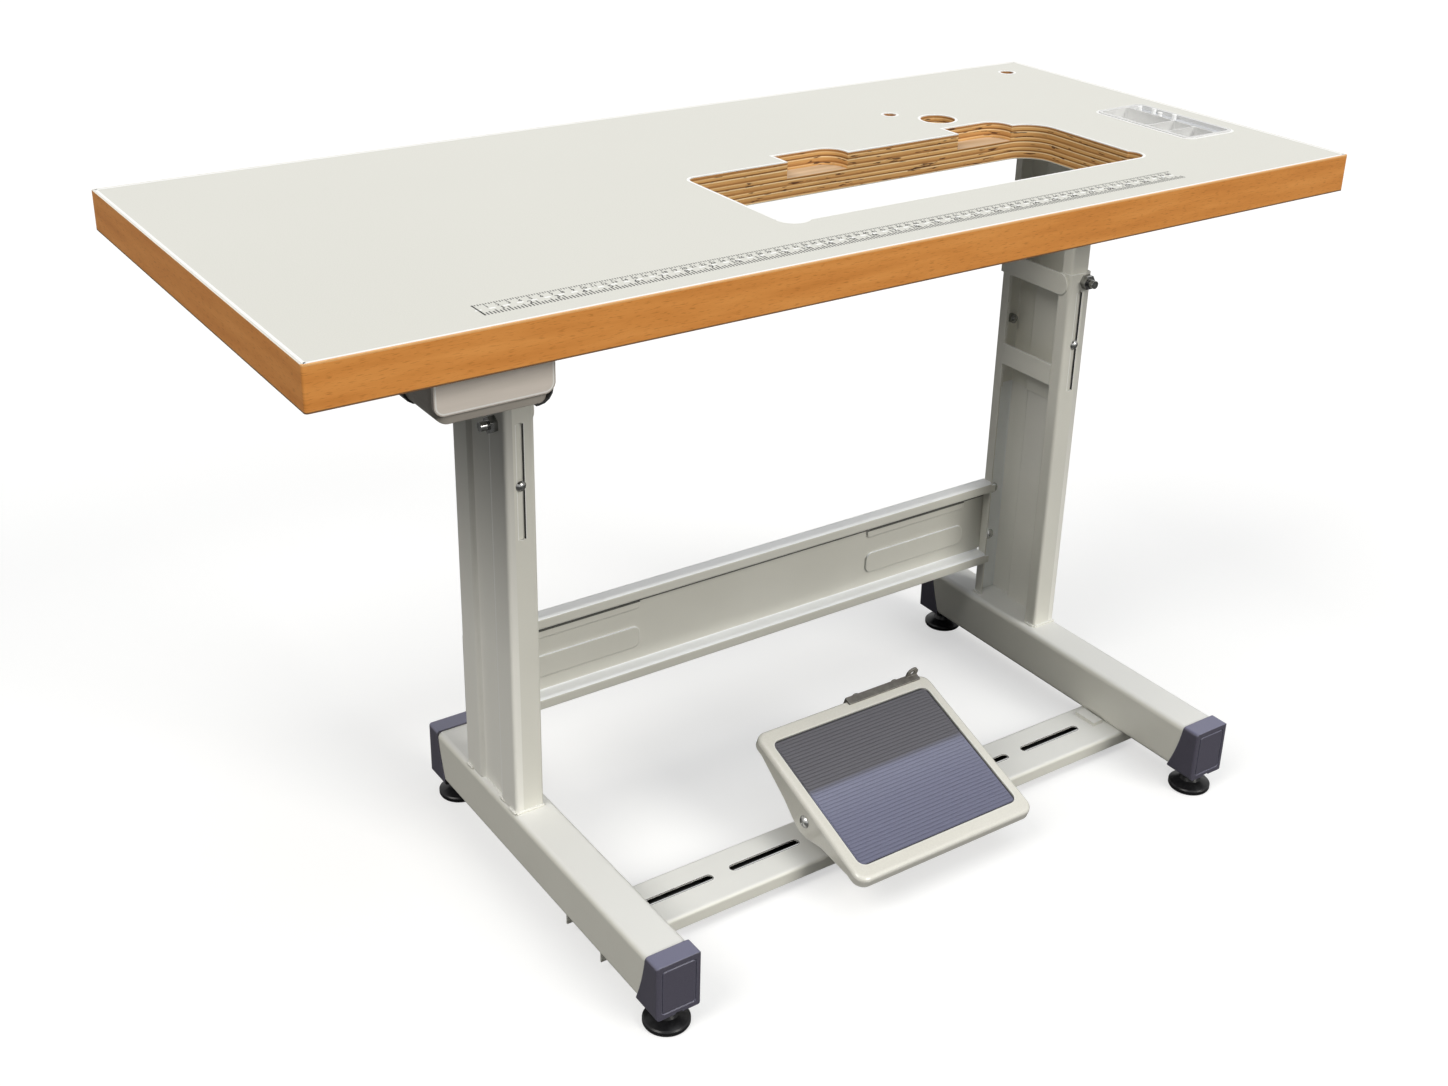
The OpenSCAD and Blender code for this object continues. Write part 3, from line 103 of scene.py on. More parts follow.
sky = bpy.data.worlds.new("sky")
bpy.context.scene.world = sky
sky.use_nodes = True
nodes, links = sky.node_tree.nodes, sky.node_tree.links
nodes.clear()
lit = nodes.new("ShaderNodeBackground")
lit.inputs["Color"].default_value = (0.97, 0.98, 1.0, 1)
lit.inputs["Strength"].default_value = sky_lit
white = nodes.new("ShaderNodeBackground")
white.inputs["Color"].default_value = (1, 1, 1, 1)
white.inputs["Strength"].default_value = 1.0
seen = nodes.new("ShaderNodeLightPath")
either = nodes.new("ShaderNodeMath")
either.operation = "MAXIMUM"
any_of = nodes.new("ShaderNodeMath")
any_of.operation = "MAXIMUM"
links.new(seen.outputs["Is Camera Ray"], either.inputs[0])
links.new(seen.outputs["Is Glossy Ray"], either.inputs[1])
links.new(either.outputs[0], any_of.inputs[0])
links.new(seen.outputs["Is Transmission Ray"], any_of.inputs[1])
blend = nodes.new("ShaderNodeMixShader")
links.new(any_of.outputs[0], blend.inputs["Fac"])
links.new(lit.outputs[0], blend.inputs[1])
links.new(white.outputs[0], blend.inputs[2])
out = nodes.new("ShaderNodeOutputWorld")
links.new(blend.outputs[0], out.inputs["Surface"])

for name, energy, spread, towards, colour in (
        ("overhead_light", 1.00, 55, (0.05, -0.25, 0.96), (0.93, 0.965, 1.0)),
        ("front_light", 1.80, 26, (0.27, -0.81, 0.52), (1.0, 0.98, 0.93)),
        ("left_light", 1.60, 30, (-0.66, -0.12, 0.74), (1.0, 0.98, 0.93))):
    sun_data = bpy.data.lights.new(name, "SUN")
    sun_data.energy = energy
    sun_data.angle = math.radians(spread)
    sun_data.color = colour
    sun = bpy.data.objects.new(name, sun_data)
    sun.rotation_euler = Vector(towards).to_track_quat("Z", "Y").to_euler()
    bpy.context.collection.objects.link(sun)


# Plywood core of the worktop: about twenty veneers, laid across each other and glued, so that a sawn wall
# shows pale and dark stripes with small gaps in the inner veneers. It is routed for the machine's bed.
def finish(name, colour, roughness):
    """A material with its shader's own colour and roughness, and its node tree to work on"""
    material = bpy.data.materials.new(name)
    material.use_nodes = True
    shader = material.node_tree.nodes["Principled BSDF"]
    shader.inputs["Base Color"].default_value = (*colour, 1)
    shader.inputs["Roughness"].default_value = roughness
    return material, material.node_tree.nodes, material.node_tree.links, shader


def noise(nodes, links, source, scale, detail=2.0):
    """A noise texture on the given coordinates"""
    texture = nodes.new("ShaderNodeTexNoise")
    texture.inputs["Scale"].default_value = scale
    texture.inputs["Detail"].default_value = detail
    links.new(source, texture.inputs["Vector"])
    return texture.outputs["Fac"]


def object_place(nodes, links, stretch=(1, 1, 1)):
    """Coordinates of the object itself, stretched along its axes"""
    coordinates = nodes.new("ShaderNodeTexCoord")
    mapping = nodes.new("ShaderNodeMapping")
    mapping.inputs["Scale"].default_value = stretch
    links.new(coordinates.outputs["Object"], mapping.inputs["Vector"])
    return mapping.outputs["Vector"]


def split_place(nodes, links):
    """The object's own coordinates, a socket for each axis"""
    split = nodes.new("ShaderNodeSeparateXYZ")
    links.new(object_place(nodes, links), split.inputs[0])
    return split.outputs


def facing(nodes, links, normal="Normal"):
    """The way that the surface faces, a socket for each axis"""
    geometry = nodes.new("ShaderNodeNewGeometry")
    split = nodes.new("ShaderNodeSeparateXYZ")
    links.new(geometry.outputs[normal], split.inputs[0])
    return split.outputs


def ramp(nodes, links, source, stops):
    """Colours along a value: stops are (place, colour)"""
    scale = nodes.new("ShaderNodeValToRGB")
    while len(scale.color_ramp.elements) < len(stops):
        scale.color_ramp.elements.new(1.0)
    for element, (place, colour) in zip(scale.color_ramp.elements, stops):
        element.position = place
        element.color = (*colour, 1)
    links.new(source, scale.inputs["Fac"])
    return scale.outputs["Color"]


def arithmetic(nodes, links, operation, *values):
    """One step of arithmetic on sockets or numbers"""
    step = nodes.new("ShaderNodeMath")
    step.operation = operation
    for socket, value in zip(step.inputs, values):
        if isinstance(value, (int, float)):
            socket.default_value = value
        else:
            links.new(value, socket)
    return step.outputs[0]


def above(nodes, links, value, limit):
    """One where a value is over a limit, nothing elsewhere"""
    return arithmetic(nodes, links, "GREATER_THAN", value, limit)


def mixed(nodes, links, share, first, second, way="MIX"):
    """Two colours mixed by a share; a colour is a socket or three numbers"""
    mix = nodes.new("ShaderNodeMix")
    mix.data_type = "RGBA"
    mix.blend_type = way
    mix.clamp_result = True
    for socket, value in ((mix.inputs[0], share), (mix.inputs[6], first), (mix.inputs[7], second)):
        if isinstance(value, (int, float)):
            socket.default_value = value
        elif isinstance(value, tuple):
            socket.default_value = (*value, 1)
        else:
            links.new(value, socket)
    return mix.outputs[2]


def relief(nodes, links, shader, height, depth, strength=1.0, soft_edge=0.0):
    """Bump of the given depth in metres, over edges that look rounded where soft_edge is a radius"""
    bump = nodes.new("ShaderNodeBump")
    bump.inputs["Distance"].default_value = depth
    bump.inputs["Strength"].default_value = strength
    links.new(height, bump.inputs["Height"])
    if soft_edge:
        edge = nodes.new("ShaderNodeBevel")
        edge.samples = 4
        edge.inputs["Radius"].default_value = soft_edge
        links.new(edge.outputs["Normal"], bump.inputs["Normal"])
    links.new(bump.outputs["Normal"], shader.inputs["Normal"])


def coat(material, *names):
    """Gives CAD nodes their material"""
    for name in names:
        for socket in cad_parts[name].material_slots:
            socket.material = material


six_veneers = 0.0115
veneer_wander = 0.0045
veneer_groove = 0.0008
plywood, nodes, links, shader = finish("plywood", (0.70, 0.41, 0.17), 0.60)
wander = noise(nodes, links, object_place(nodes, links, (4, 4, 30)), 1.0, 2.0)
height = arithmetic(nodes, links, "MULTIPLY_ADD", wander, veneer_wander, split_place(nodes, links)["Z"])
layer = arithmetic(nodes, links, "FRACT", arithmetic(nodes, links, "DIVIDE", height, six_veneers))
stripes = ramp(nodes, links, layer, [
    (0.0, (0.66, 0.35, 0.115)), (0.16, (0.74, 0.41, 0.140)), (0.19, (1.00, 0.84, 0.52)),
    (0.25, (1.00, 0.78, 0.44)), (0.28, (0.46, 0.21, 0.060)), (0.36, (0.16, 0.062, 0.015)),
    (0.42, (0.66, 0.35, 0.110)), (0.60, (0.80, 0.48, 0.180)), (0.66, (1.00, 0.76, 0.42)),
    (0.70, (0.62, 0.32, 0.100)), (0.80, (0.34, 0.145, 0.040)), (0.86, (0.56, 0.28, 0.085)),
    (1.0, (0.70, 0.38, 0.130)),
])
fibre = noise(nodes, links, object_place(nodes, links, (22, 22, 1500)), 1.0, 4.0)
stripes = mixed(nodes, links, 0.40, stripes, ramp(nodes, links, fibre, [
    (0.30, (0.40, 0.30, 0.20)), (0.58, (1.0, 1.0, 1.0))]), "MULTIPLY")
knots = noise(nodes, links, object_place(nodes, links, (48, 48, 420)), 1.0, 2.0)
gaps = ramp(nodes, links, knots, [(0.63, (1, 1, 1)), (0.67, (0.12, 0.06, 0.03))])
stripes = mixed(nodes, links, 0.9, stripes, gaps, "MULTIPLY")
face_grain = noise(nodes, links, object_place(nodes, links, (9, 160, 9)), 1.0, 5.0)
face = ramp(nodes, links, face_grain, [(0.30, (0.42, 0.28, 0.16)), (0.70, (0.64, 0.47, 0.31))])
level = above(nodes, links, arithmetic(nodes, links, "ABSOLUTE", facing(nodes, links)["Z"]), 0.7)
links.new(mixed(nodes, links, level, stripes, face), shader.inputs["Base Color"])
relief(nodes, links, shader, layer, veneer_groove, 0.35)
coat(plywood, "table_core")


# The two decorative laminates: hard matt sheets a millimetre thick, glued on the core. The upper one is the
# working surface, an off-white with a hardly visible mottle and a painted highlight along its sawn edges;
# the lower one balances it.
def edge_share(nodes, links, reach):
    """How near the next edge is: nothing on a flat face, up to about a half on the edge itself"""
    turned = nodes.new("ShaderNodeBevel")
    turned.samples = 6
    turned.inputs["Radius"].default_value = reach
    face = nodes.new("ShaderNodeNewGeometry")
    across = nodes.new("ShaderNodeVectorMath")
    across.operation = "DOT_PRODUCT"
    links.new(turned.outputs["Normal"], across.inputs[0])
    links.new(face.outputs["True Normal"], across.inputs[1])
    return arithmetic(nodes, links, "SUBTRACT", 1.0, across.outputs["Value"])


def clouded(name, colour, roughness, scale, detail, dark, light):
    """A finish whose tone wanders between two colours; dark and light are (place, colour)"""
    material, nodes, links, shader = finish(name, colour, roughness)
    cloud = noise(nodes, links, object_place(nodes, links), scale, detail)
    links.new(ramp(nodes, links, cloud, [dark, light]), shader.inputs["Base Color"])
    return material, nodes, links, shader, cloud


laminate_white, nodes, links, shader = finish("laminate_white", (0.73, 0.73, 0.69), 0.42)
mottle = noise(nodes, links, object_place(nodes, links), 900, 2.0)
cloud = noise(nodes, links, object_place(nodes, links), 2.5, 2.0)
tone = ramp(nodes, links, mottle, [(0.35, (0.690, 0.684, 0.632)), (0.65, (0.725, 0.719, 0.667))])
tone = mixed(nodes, links, 0.25, tone, ramp(nodes, links, cloud, [
    (0.35, (0.95, 0.95, 0.95)), (0.65, (1.0, 1.0, 1.0))]), "MULTIPLY")
# A painted highlight: the upper sheet is painted near white within a few millimetres of each of its edges.
sawn_edge_highlight = above(nodes, links, edge_share(nodes, links, 0.0034), 0.03)
links.new(mixed(nodes, links, sawn_edge_highlight, tone, (0.94, 0.94, 0.92)), shader.inputs["Base Color"])
relief(nodes, links, shader, mottle, 0.00004, 0.5)
coat(laminate_white, "top_laminate")

# The routed edges of the upper laminate: a painted highlight, a bright white line round the sheet and its
# openings along their arris. It lies a hair's breadth over the sheet.
rim_w = 0.0030
rim_lift = 0.00004
merge_reach = 0.000001


def merged_copy(name, node):
    """A copy of a CAD node's mesh, merged, selected all over and in edit mode"""
    copy = bpy.data.objects.new(name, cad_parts[node].data.copy())
    bpy.context.collection.objects.link(copy)
    bpy.ops.object.select_all(action="DESELECT")
    bpy.context.view_layer.objects.active = copy
    copy.select_set(True)
    bpy.ops.object.mode_set(mode="EDIT")
    bpy.ops.mesh.select_all(action="SELECT")
    bpy.ops.mesh.remove_doubles(threshold=merge_reach)
    return copy


rim = merged_copy("laminate_arris_highlight", "top_laminate")
bpy.ops.mesh.select_mode(type="FACE")
bpy.ops.mesh.select_all(action="DESELECT")
bpy.ops.object.mode_set(mode="OBJECT")
for side in rim.data.polygons:
    side.select = side.normal.z < 0.9
bpy.ops.object.mode_set(mode="EDIT")
bpy.ops.mesh.delete(type="FACE")
bpy.ops.mesh.select_all(action="SELECT")
bpy.ops.mesh.inset(thickness=rim_w, use_boundary=True)
bpy.ops.mesh.delete(type="FACE")
bpy.ops.mesh.select_all(action="SELECT")
bpy.ops.transform.translate(value=(0, 0, rim_lift))
bpy.ops.mesh.select_mode(type="VERT")
bpy.ops.object.mode_set(mode="OBJECT")
# The rim's near-white colour is a painted highlight.
arris_highlight = clouded("arris_highlight", (0.97, 0.97, 0.96), 0.40, 700, 2.0,
                    (0.3, (0.95, 0.95, 0.94)), (0.7, (0.98, 0.98, 0.97)))[0]
rim.data.materials.clear()
rim.data.materials.append(arris_highlight)
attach(rim, "worktop")
rim.select_set(False)

backing_sheet, nodes, links, shader, mottle = clouded(
    "backing_sheet", (0.60, 0.58, 0.52), 0.6, 500, 3.0,
    (0.35, (0.57, 0.55, 0.49)), (0.65, (0.63, 0.61, 0.55)))
relief(nodes, links, shader, mottle, 0.00005, 0.5)
coat(backing_sheet, "bottom_laminate")


# The edge band: a strip of beech, glued round the worktop and trimmed flush, with its long edges broken.
# Its pores show as short dark dashes along the strip. Its broken edges, its upper face and its upper front
# arris carry painted highlights, palest on the upper face in front, and it is darker along its lower edge.
band_low, band_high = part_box("edge_band")
front_strip = 0.0030
arris_h = 0.0015
lower_dark_h = 0.0014
beech, nodes, links, shader = finish("beech", (0.76, 0.31, 0.08), 0.42)
place = split_place(nodes, links)
strip = nodes.new("ShaderNodeCombineXYZ")
links.new(arithmetic(nodes, links, "ADD", place["X"], place["Y"]), strip.inputs["X"])
links.new(place["Z"], strip.inputs["Z"])


def along_strip(stretch):
    """Coordinates that run along the band, stretched"""
    mapping = nodes.new("ShaderNodeMapping")
    mapping.inputs["Scale"].default_value = stretch
    links.new(strip.outputs[0], mapping.inputs["Vector"])
    return mapping.outputs["Vector"]


def below(nodes, links, value, limit):
    """One where a value is under a limit, nothing elsewhere"""
    return arithmetic(nodes, links, "LESS_THAN", value, limit)


def overlap(nodes, links, first, *others):
    """The given shares multiplied, so one only where each of them is one"""
    for other in others:
        first = arithmetic(nodes, links, "MULTIPLY", first, other)
    return first


figure = noise(nodes, links, along_strip((9.0, 1, 90)), 1.0, 5.0)
wood = ramp(nodes, links, figure, [
    (0.32, (0.70, 0.262, 0.050)), (0.5, (0.77, 0.305, 0.064)), (0.68, (0.83, 0.350, 0.084))])
dashes = noise(nodes, links, along_strip((110, 1, 900)), 1.0, 3.0)
pores = ramp(nodes, links, dashes, [(0.56, (1, 1, 1)), (0.70, (0.72, 0.62, 0.50))])
wood = mixed(nodes, links, 0.9, wood, pores, "MULTIPLY")
# Painted highlights on the broken edges, on the upper face and on the upper front arris.
broken_edge_highlight = above(nodes, links, edge_share(nodes, links, 0.0022), 0.05)
wood = mixed(nodes, links, broken_edge_highlight, wood, (0.84, 0.44, 0.18))
top_edge = above(nodes, links, facing(nodes, links, "True Normal")["Z"], 0.7)
at_front = below(nodes, links, place["Y"], band_low.y + front_strip)
top_face_highlight = mixed(nodes, links, at_front, (0.80, 0.78, 0.72), (0.84, 0.44, 0.16))
wood = mixed(nodes, links, top_edge, wood, top_face_highlight)
front_arris_highlight = overlap(nodes, links, above(nodes, links, place["Z"], band_high.z - arris_h), at_front)
wood = mixed(nodes, links, front_arris_highlight, wood, (0.86, 0.46, 0.17))
# The lowest millimetre and a half of the band is painted darker.
lower_edge_dark = below(nodes, links, place["Z"], band_low.z + lower_dark_h)
links.new(mixed(nodes, links, lower_edge_dark, wood, (0.22, 0.11, 0.045)), shader.inputs["Base Color"])
relief(nodes, links, shader, dashes, 0.0001, 0.35, 0.0010)
coat(beech, "edge_band")


# The ruler along the front edge: a dark print on the laminate, with a centimetre scale at its back, an inch
# scale at its front, small white fields between them and an upright line at the left end.
sheet_low, sheet_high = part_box("top_laminate")
ruler_from_left = 0.164
ruler_from_front = 0.0245
ruler_l = 0.808
ruler_w = 0.0260
ruler_left = sheet_low.x + ruler_from_left
ruler_right = ruler_left + ruler_l
ruler_front = sheet_low.y + ruler_from_front
ruler_back = ruler_front + ruler_w
ruler_z = sheet_high.z + rim_lift
print_lift = 0.00002
figure_boldness = 0.00016
end_line_w = 0.0016
inch = 0.0254
centimetre = 0.01
cm_marks = ((4, 0.0050), (2, 0.0034), (1, 0.0024))
cm_mark_w = 0.0010
cm_figure_h = 0.0062
cm_figure_in = 0.0085
inch_marks = ((8, 0.0105), (4, 0.0085), (2, 0.0070), (1, 0.0058))
inch_mark_w = 0.0013
inch_figure_h = 0.0090
inch_figure_in = 0.0098
inch_figure_left = 0.0048
field_w = 0.0060
field_h = 0.0026
field_in = 0.0118


def scale_lines(pitch, line_w, every, base, towards):
    """Marks of one scale, from its base line towards the ruler's middle; every lists (count, length)"""
    shape = bmesh.new()
    for step in range(int((ruler_right - ruler_left) / pitch) + 1):
        x = ruler_left + step * pitch
        length = next(long for count, long in every if step % count == 0) * towards
        corners = [(x - line_w / 2, base), (x + line_w / 2, base),
                   (x + line_w / 2, base + length), (x - line_w / 2, base + length)]
        face = shape.faces.new([shape.verts.new((*corner, ruler_z)) for corner in corners])
        face.normal_update()
        if face.normal.z < 0:
            face.normal_flip()
    mesh = bpy.data.meshes.new("scale_lines")
    shape.to_mesh(mesh)
    shape.free()
    lines = bpy.data.objects.new("scale_lines", mesh)
    bpy.context.collection.objects.link(lines)
    return lines


def numeral(words, x, y, size):
    """One number, centred at a place on the laminate, as a mesh"""
    bpy.ops.object.text_add(location=(x, y, ruler_z))
    figure = bpy.context.object
    figure.data.body = words
    figure.data.size = size
    figure.data.align_x = "CENTER"
    figure.data.align_y = "CENTER"
    figure.data.resolution_u = 2
    figure.data.offset = figure_boldness
    bpy.ops.object.convert(target="MESH")
    bpy.ops.object.transform_apply(location=True, rotation=False, scale=False)
    return bpy.context.object


prints = [
    scale_lines(centimetre / 4, cm_mark_w, cm_marks, ruler_back, -1),
    scale_lines(inch / 8, inch_mark_w, inch_marks, ruler_front, 1),
]
for count in range(1, int((ruler_right - ruler_left) / centimetre) + 1):
    place_x = ruler_left + count * centimetre
    prints.append(numeral(str(count), place_x, ruler_back - cm_figure_in, cm_figure_h))
for count in range(1, int((ruler_right - ruler_left) / inch) + 1):
    place_x = ruler_left + count * inch - inch_figure_left
    prints.append(numeral(str(count), place_x, ruler_front + inch_figure_in, inch_figure_h))
bpy.ops.mesh.primitive_plane_add(size=1, location=(ruler_left, (ruler_back + ruler_front) / 2, ruler_z))
end_line = bpy.context.object
end_line.scale = (end_line_w, ruler_w, 1)
bpy.ops.object.transform_apply(location=True, rotation=False, scale=True)
prints.append(end_line)
bpy.ops.object.select_all(action="DESELECT")
for each in prints:
    each.select_set(True)
bpy.context.view_layer.objects.active = prints[0]
bpy.ops.object.join()
ruler = bpy.context.object
bpy.ops.object.mode_set(mode="EDIT")
bpy.ops.mesh.select_all(action="SELECT")
bpy.ops.transform.translate(value=(0, 0, print_lift))
bpy.ops.object.mode_set(mode="OBJECT")
ruler.name = "ruler_print"
ruler_ink = clouded("ruler_ink", (0.07, 0.07, 0.065), 0.55, 260, 3.0,
                    (0.35, (0.015, 0.015, 0.014)), (0.68, (0.050, 0.050, 0.047)))[0]
ruler.data.materials.clear()
ruler.data.materials.append(ruler_ink)
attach(ruler, "worktop")
fields = scale_lines(inch / 2, field_w, ((1, field_h),), ruler_front + field_in, 1)
fields.name = "ruler_fields"
field_white = clouded("field_white", (0.97, 0.97, 0.96), 0.5, 260, 3.0,
                      (0.35, (0.90, 0.90, 0.89)), (0.68, (0.97, 0.97, 0.96)))[0]
fields.data.materials.append(field_white)
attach(fields, "worktop")


# The posts, foot tubes, straps, mounting plates and carrier: pressed and welded steel with a powder coat, a
# pale grey with a warm cast and a fine orange peel. The coat carries a painted highlight along its edges,
# and its faces that look up are painted paler and cooler as a painted sky reflection. The columns, brace and
# bar below have it too.
peel_depth = 0.00006
edge_highlight_share = 0.85
top_sky_share = 0.75


def climb(nodes, links, value, low, high, top=1.0):
    """Nothing under low, the top share over high, and an even rise between them"""
    rise = nodes.new("ShaderNodeMapRange")
    rise.inputs["From Min"].default_value = low
    rise.inputs["From Max"].default_value = high
    rise.inputs["To Max"].default_value = top
    links.new(value, rise.inputs["Value"])
    return rise.outputs["Result"]


def painted(name, soft_edge, extra=None):
    """Powder coat over steel whose bends have the given radius, with painted highlights on its edges and a
    painted sky reflection on faces that look up; extra adds a piece's own painted light and shade
    """
    material, nodes, links, shader = finish(name, (0.78, 0.765, 0.695), 0.34)
    peel = noise(nodes, links, object_place(nodes, links), 420, 2.0)
    cloud = noise(nodes, links, object_place(nodes, links), 7, 3.0)
    tone = ramp(nodes, links, cloud, [(0.30, (0.745, 0.735, 0.665)), (0.70, (0.795, 0.785, 0.715))])
    # A painted highlight on the edges, then a painted sky reflection on the faces that look up.
    painted_light_share = above(nodes, links, edge_share(nodes, links, soft_edge), 0.12)
    painted_light_share = arithmetic(nodes, links, "MULTIPLY", painted_light_share, edge_highlight_share)
    tone = mixed(nodes, links, painted_light_share, tone, (0.95, 0.95, 0.92))
    top_sky_tint = climb(nodes, links, facing(nodes, links)["Z"], 0.5, 0.95, top_sky_share)
    tone = mixed(nodes, links, top_sky_tint, tone, (0.795, 0.800, 0.795))
    if extra:
        tone = extra(nodes, links, tone)
    links.new(tone, shader.inputs["Base Color"])
    relief(nodes, links, shader, peel, peel_depth, 0.5, soft_edge)
    return material


powder_coat = painted("powder_coat", 0.0012)
coat(powder_coat, "left_post", "right_post", "left_foot_tube", "right_foot_tube", "treadle_carrier",
     "left_mounting_plate", "right_mounting_plate", "left_upper_strap", "right_upper_strap",
     "left_lower_strap", "right_lower_strap")


# The columns: pressed channels with a fluted web, coated like the rest. Each height slot has a painted
# shadow along its right edge and a painted highlight line beside both edges. The flute has a painted
# highlight on its front crease and painted shade in its rear groove, and the webs are painted lighter low
# down and darker towards the worktop, as the worktop's shade. The right column's rear flange is painted
# lighter inside, as painted light.
column_low, column_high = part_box("left_column")
right_column_low, right_column_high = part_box("right_column")
column_mid_y = (column_low.y + column_high.y) / 2
left_slot_x = (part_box("left_slot_screws")[0].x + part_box("left_slot_screws")[1].x) / 2
right_slot_x = (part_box("right_slot_screws")[0].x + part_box("right_slot_screws")[1].x) / 2
slot_l = 0.130
slot_high = column_high.z - 0.024
slot_low = slot_high - slot_l
slot_half_w = 0.0040
slot_line_w = 0.0008
slot_shadow_w = 0.0006
flange_sheet = 0.0021
flange_inside = 0.0040
web_from_slot = 0.0080
flute_w = 0.052
crease_w = 0.0025
crease_lap = 0.0002
groove_w = 0.0050
groove_lap = 0.0005
crease_highlight_strength = 0.8
web_shade_share = 0.6
groove_shade_share = 0.4
web_shade_start_z = column_low.z + 0.188
web_dark_z = column_high.z + 0.057


def between(nodes, links, value, low, high):
    """One inside a range of a value, nothing outside"""
    return overlap(nodes, links, above(nodes, links, value, low), below(nodes, links, value, high))


def off_middle(nodes, links, value, low, high):
    """How far a value is from the middle of two others"""
    beyond = arithmetic(nodes, links, "SUBTRACT", value, (low + high) / 2)
    return arithmetic(nodes, links, "ABSOLUTE", beyond)


def slot_lines(nodes, links, place, at_right):
    """Painted shadow on the slots' right edges in the flanges, and painted highlight lines beside both of
    their edges
    """
    on_flange = above(nodes, links, off_middle(nodes, links, place["Y"], column_low.y, column_high.y),
                      (column_high.y - column_low.y) / 2 - flange_sheet)
    flange = overlap(nodes, links, on_flange, between(nodes, links, place["Z"], slot_low, slot_high))
    off_slot = arithmetic(nodes, links, "SUBTRACT", place["X"], arithmetic(
        nodes, links, "MULTIPLY_ADD", at_right, right_slot_x - left_slot_x, left_slot_x))
    # A painted shadow along each slot's right edge, and painted highlight lines beside both of its edges.
    edge = slot_half_w + slot_shadow_w
    slot_shadow = between(nodes, links, off_slot, slot_half_w - slot_line_w, edge)
    left_line = between(nodes, links, off_slot, -slot_half_w - slot_line_w, -slot_half_w)
    right_line = between(nodes, links, off_slot, edge, edge + slot_line_w)
    lines = arithmetic(nodes, links, "ADD", left_line, right_line)
    return overlap(nodes, links, flange, slot_shadow), overlap(nodes, links, flange, lines)


def flute_line(nodes, links, place, end, width):
    """A band up the web that ends at the given depth"""
    return between(nodes, links, place["Y"], end - width, end)


def column_wear(nodes, links, tone):
    """Painted shadow on the slots' right edges, painted highlights beside both edges and on the flute's
    crease, a web painted light low down and dark upwards as painted shade, and painted light inside the
    right column's back"""
    place = split_place(nodes, links)
    at_right = above(nodes, links, place["X"], 0.0)
    slot_shadow, pale = slot_lines(nodes, links, place, at_right)

    web = above(nodes, links, off_middle(nodes, links, place["X"], left_slot_x, right_slot_x),
                (right_slot_x - left_slot_x) / 2 + web_from_slot)
    crease_end = column_mid_y - flute_w / 2 + crease_lap
    crease_highlight = overlap(nodes, links, web, flute_line(nodes, links, place, crease_end, crease_w))
    groove_end = column_mid_y + flute_w / 2 + groove_lap
    groove_shade = overlap(nodes, links, web, flute_line(nodes, links, place, groove_end, groove_w))
    web_shade = arithmetic(nodes, links, "MULTIPLY_ADD", groove_shade, groove_shade_share, web_shade_share)
    painted_shade = overlap(nodes, links, climb(nodes, links, place["Z"], web_shade_start_z, web_dark_z), web_shade)
    # Painted light and shade on the webs: lighter low down, darker towards the worktop and in the flute's
    # groove.
    web_tone = mixed(nodes, links, painted_shade, (0.90, 0.89, 0.83), (0.24, 0.235, 0.21))
    tone = mixed(nodes, links, web, tone, web_tone)

    # Painted light inside the right column's rear flange.
    forward = below(nodes, links, facing(nodes, links, "True Normal")["Y"], -0.5)
    at_back = above(nodes, links, place["Y"], column_high.y - flange_inside)
    lit_inside = overlap(nodes, links, at_right, forward, at_back)
    tone = mixed(nodes, links, lit_inside, tone, (0.93, 0.95, 0.94))
    crease_highlight_share = arithmetic(nodes, links, "MULTIPLY", crease_highlight, crease_highlight_strength)
    pale = arithmetic(nodes, links, "MAXIMUM", pale, crease_highlight_share)
    tone = mixed(nodes, links, pale, tone, (0.97, 0.97, 0.94))
    return mixed(nodes, links, slot_shadow, tone, (0.020, 0.020, 0.020))


column_coat = painted("column_coat", 0.0012, column_wear)
coat(column_coat, "left_column", "right_column")


# The weld beads at the columns' lower corners, on the foot tubes: short rows of overlapping lumps, coated
# with the rest.
tube_low, tube_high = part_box("left_foot_tube")
bead_z = tube_high.z + 0.0005
bead_off = 0.0004
bead_steps = ((-0.0056, 0.0020), (-0.0028, 0.0025), (0.0, 0.0023), (0.0029, 0.0026), (0.0056, 0.0019))
bead_coat = painted("bead_coat", 0.0006)
bpy.ops.object.select_all(action="DESELECT")
bpy.ops.mesh.primitive_ico_sphere_add(
    subdivisions=2, radius=bead_steps[0][1], location=(0, bead_steps[0][0], bead_z))
bead = bpy.context.object
bpy.ops.object.transform_apply(location=True, rotation=False, scale=False)
bpy.ops.object.mode_set(mode="EDIT")
for step, radius in bead_steps[1:]:
    bpy.ops.mesh.primitive_ico_sphere_add(subdivisions=2, radius=radius, location=(0, step, bead_z))
bpy.ops.mesh.select_all(action="SELECT")
bpy.ops.mesh.faces_shade_smooth()
bpy.ops.object.mode_set(mode="OBJECT")
bead.data.materials.append(bead_coat)
bead_front = column_low.y - bead_off
bead_rear = column_high.y + bead_off
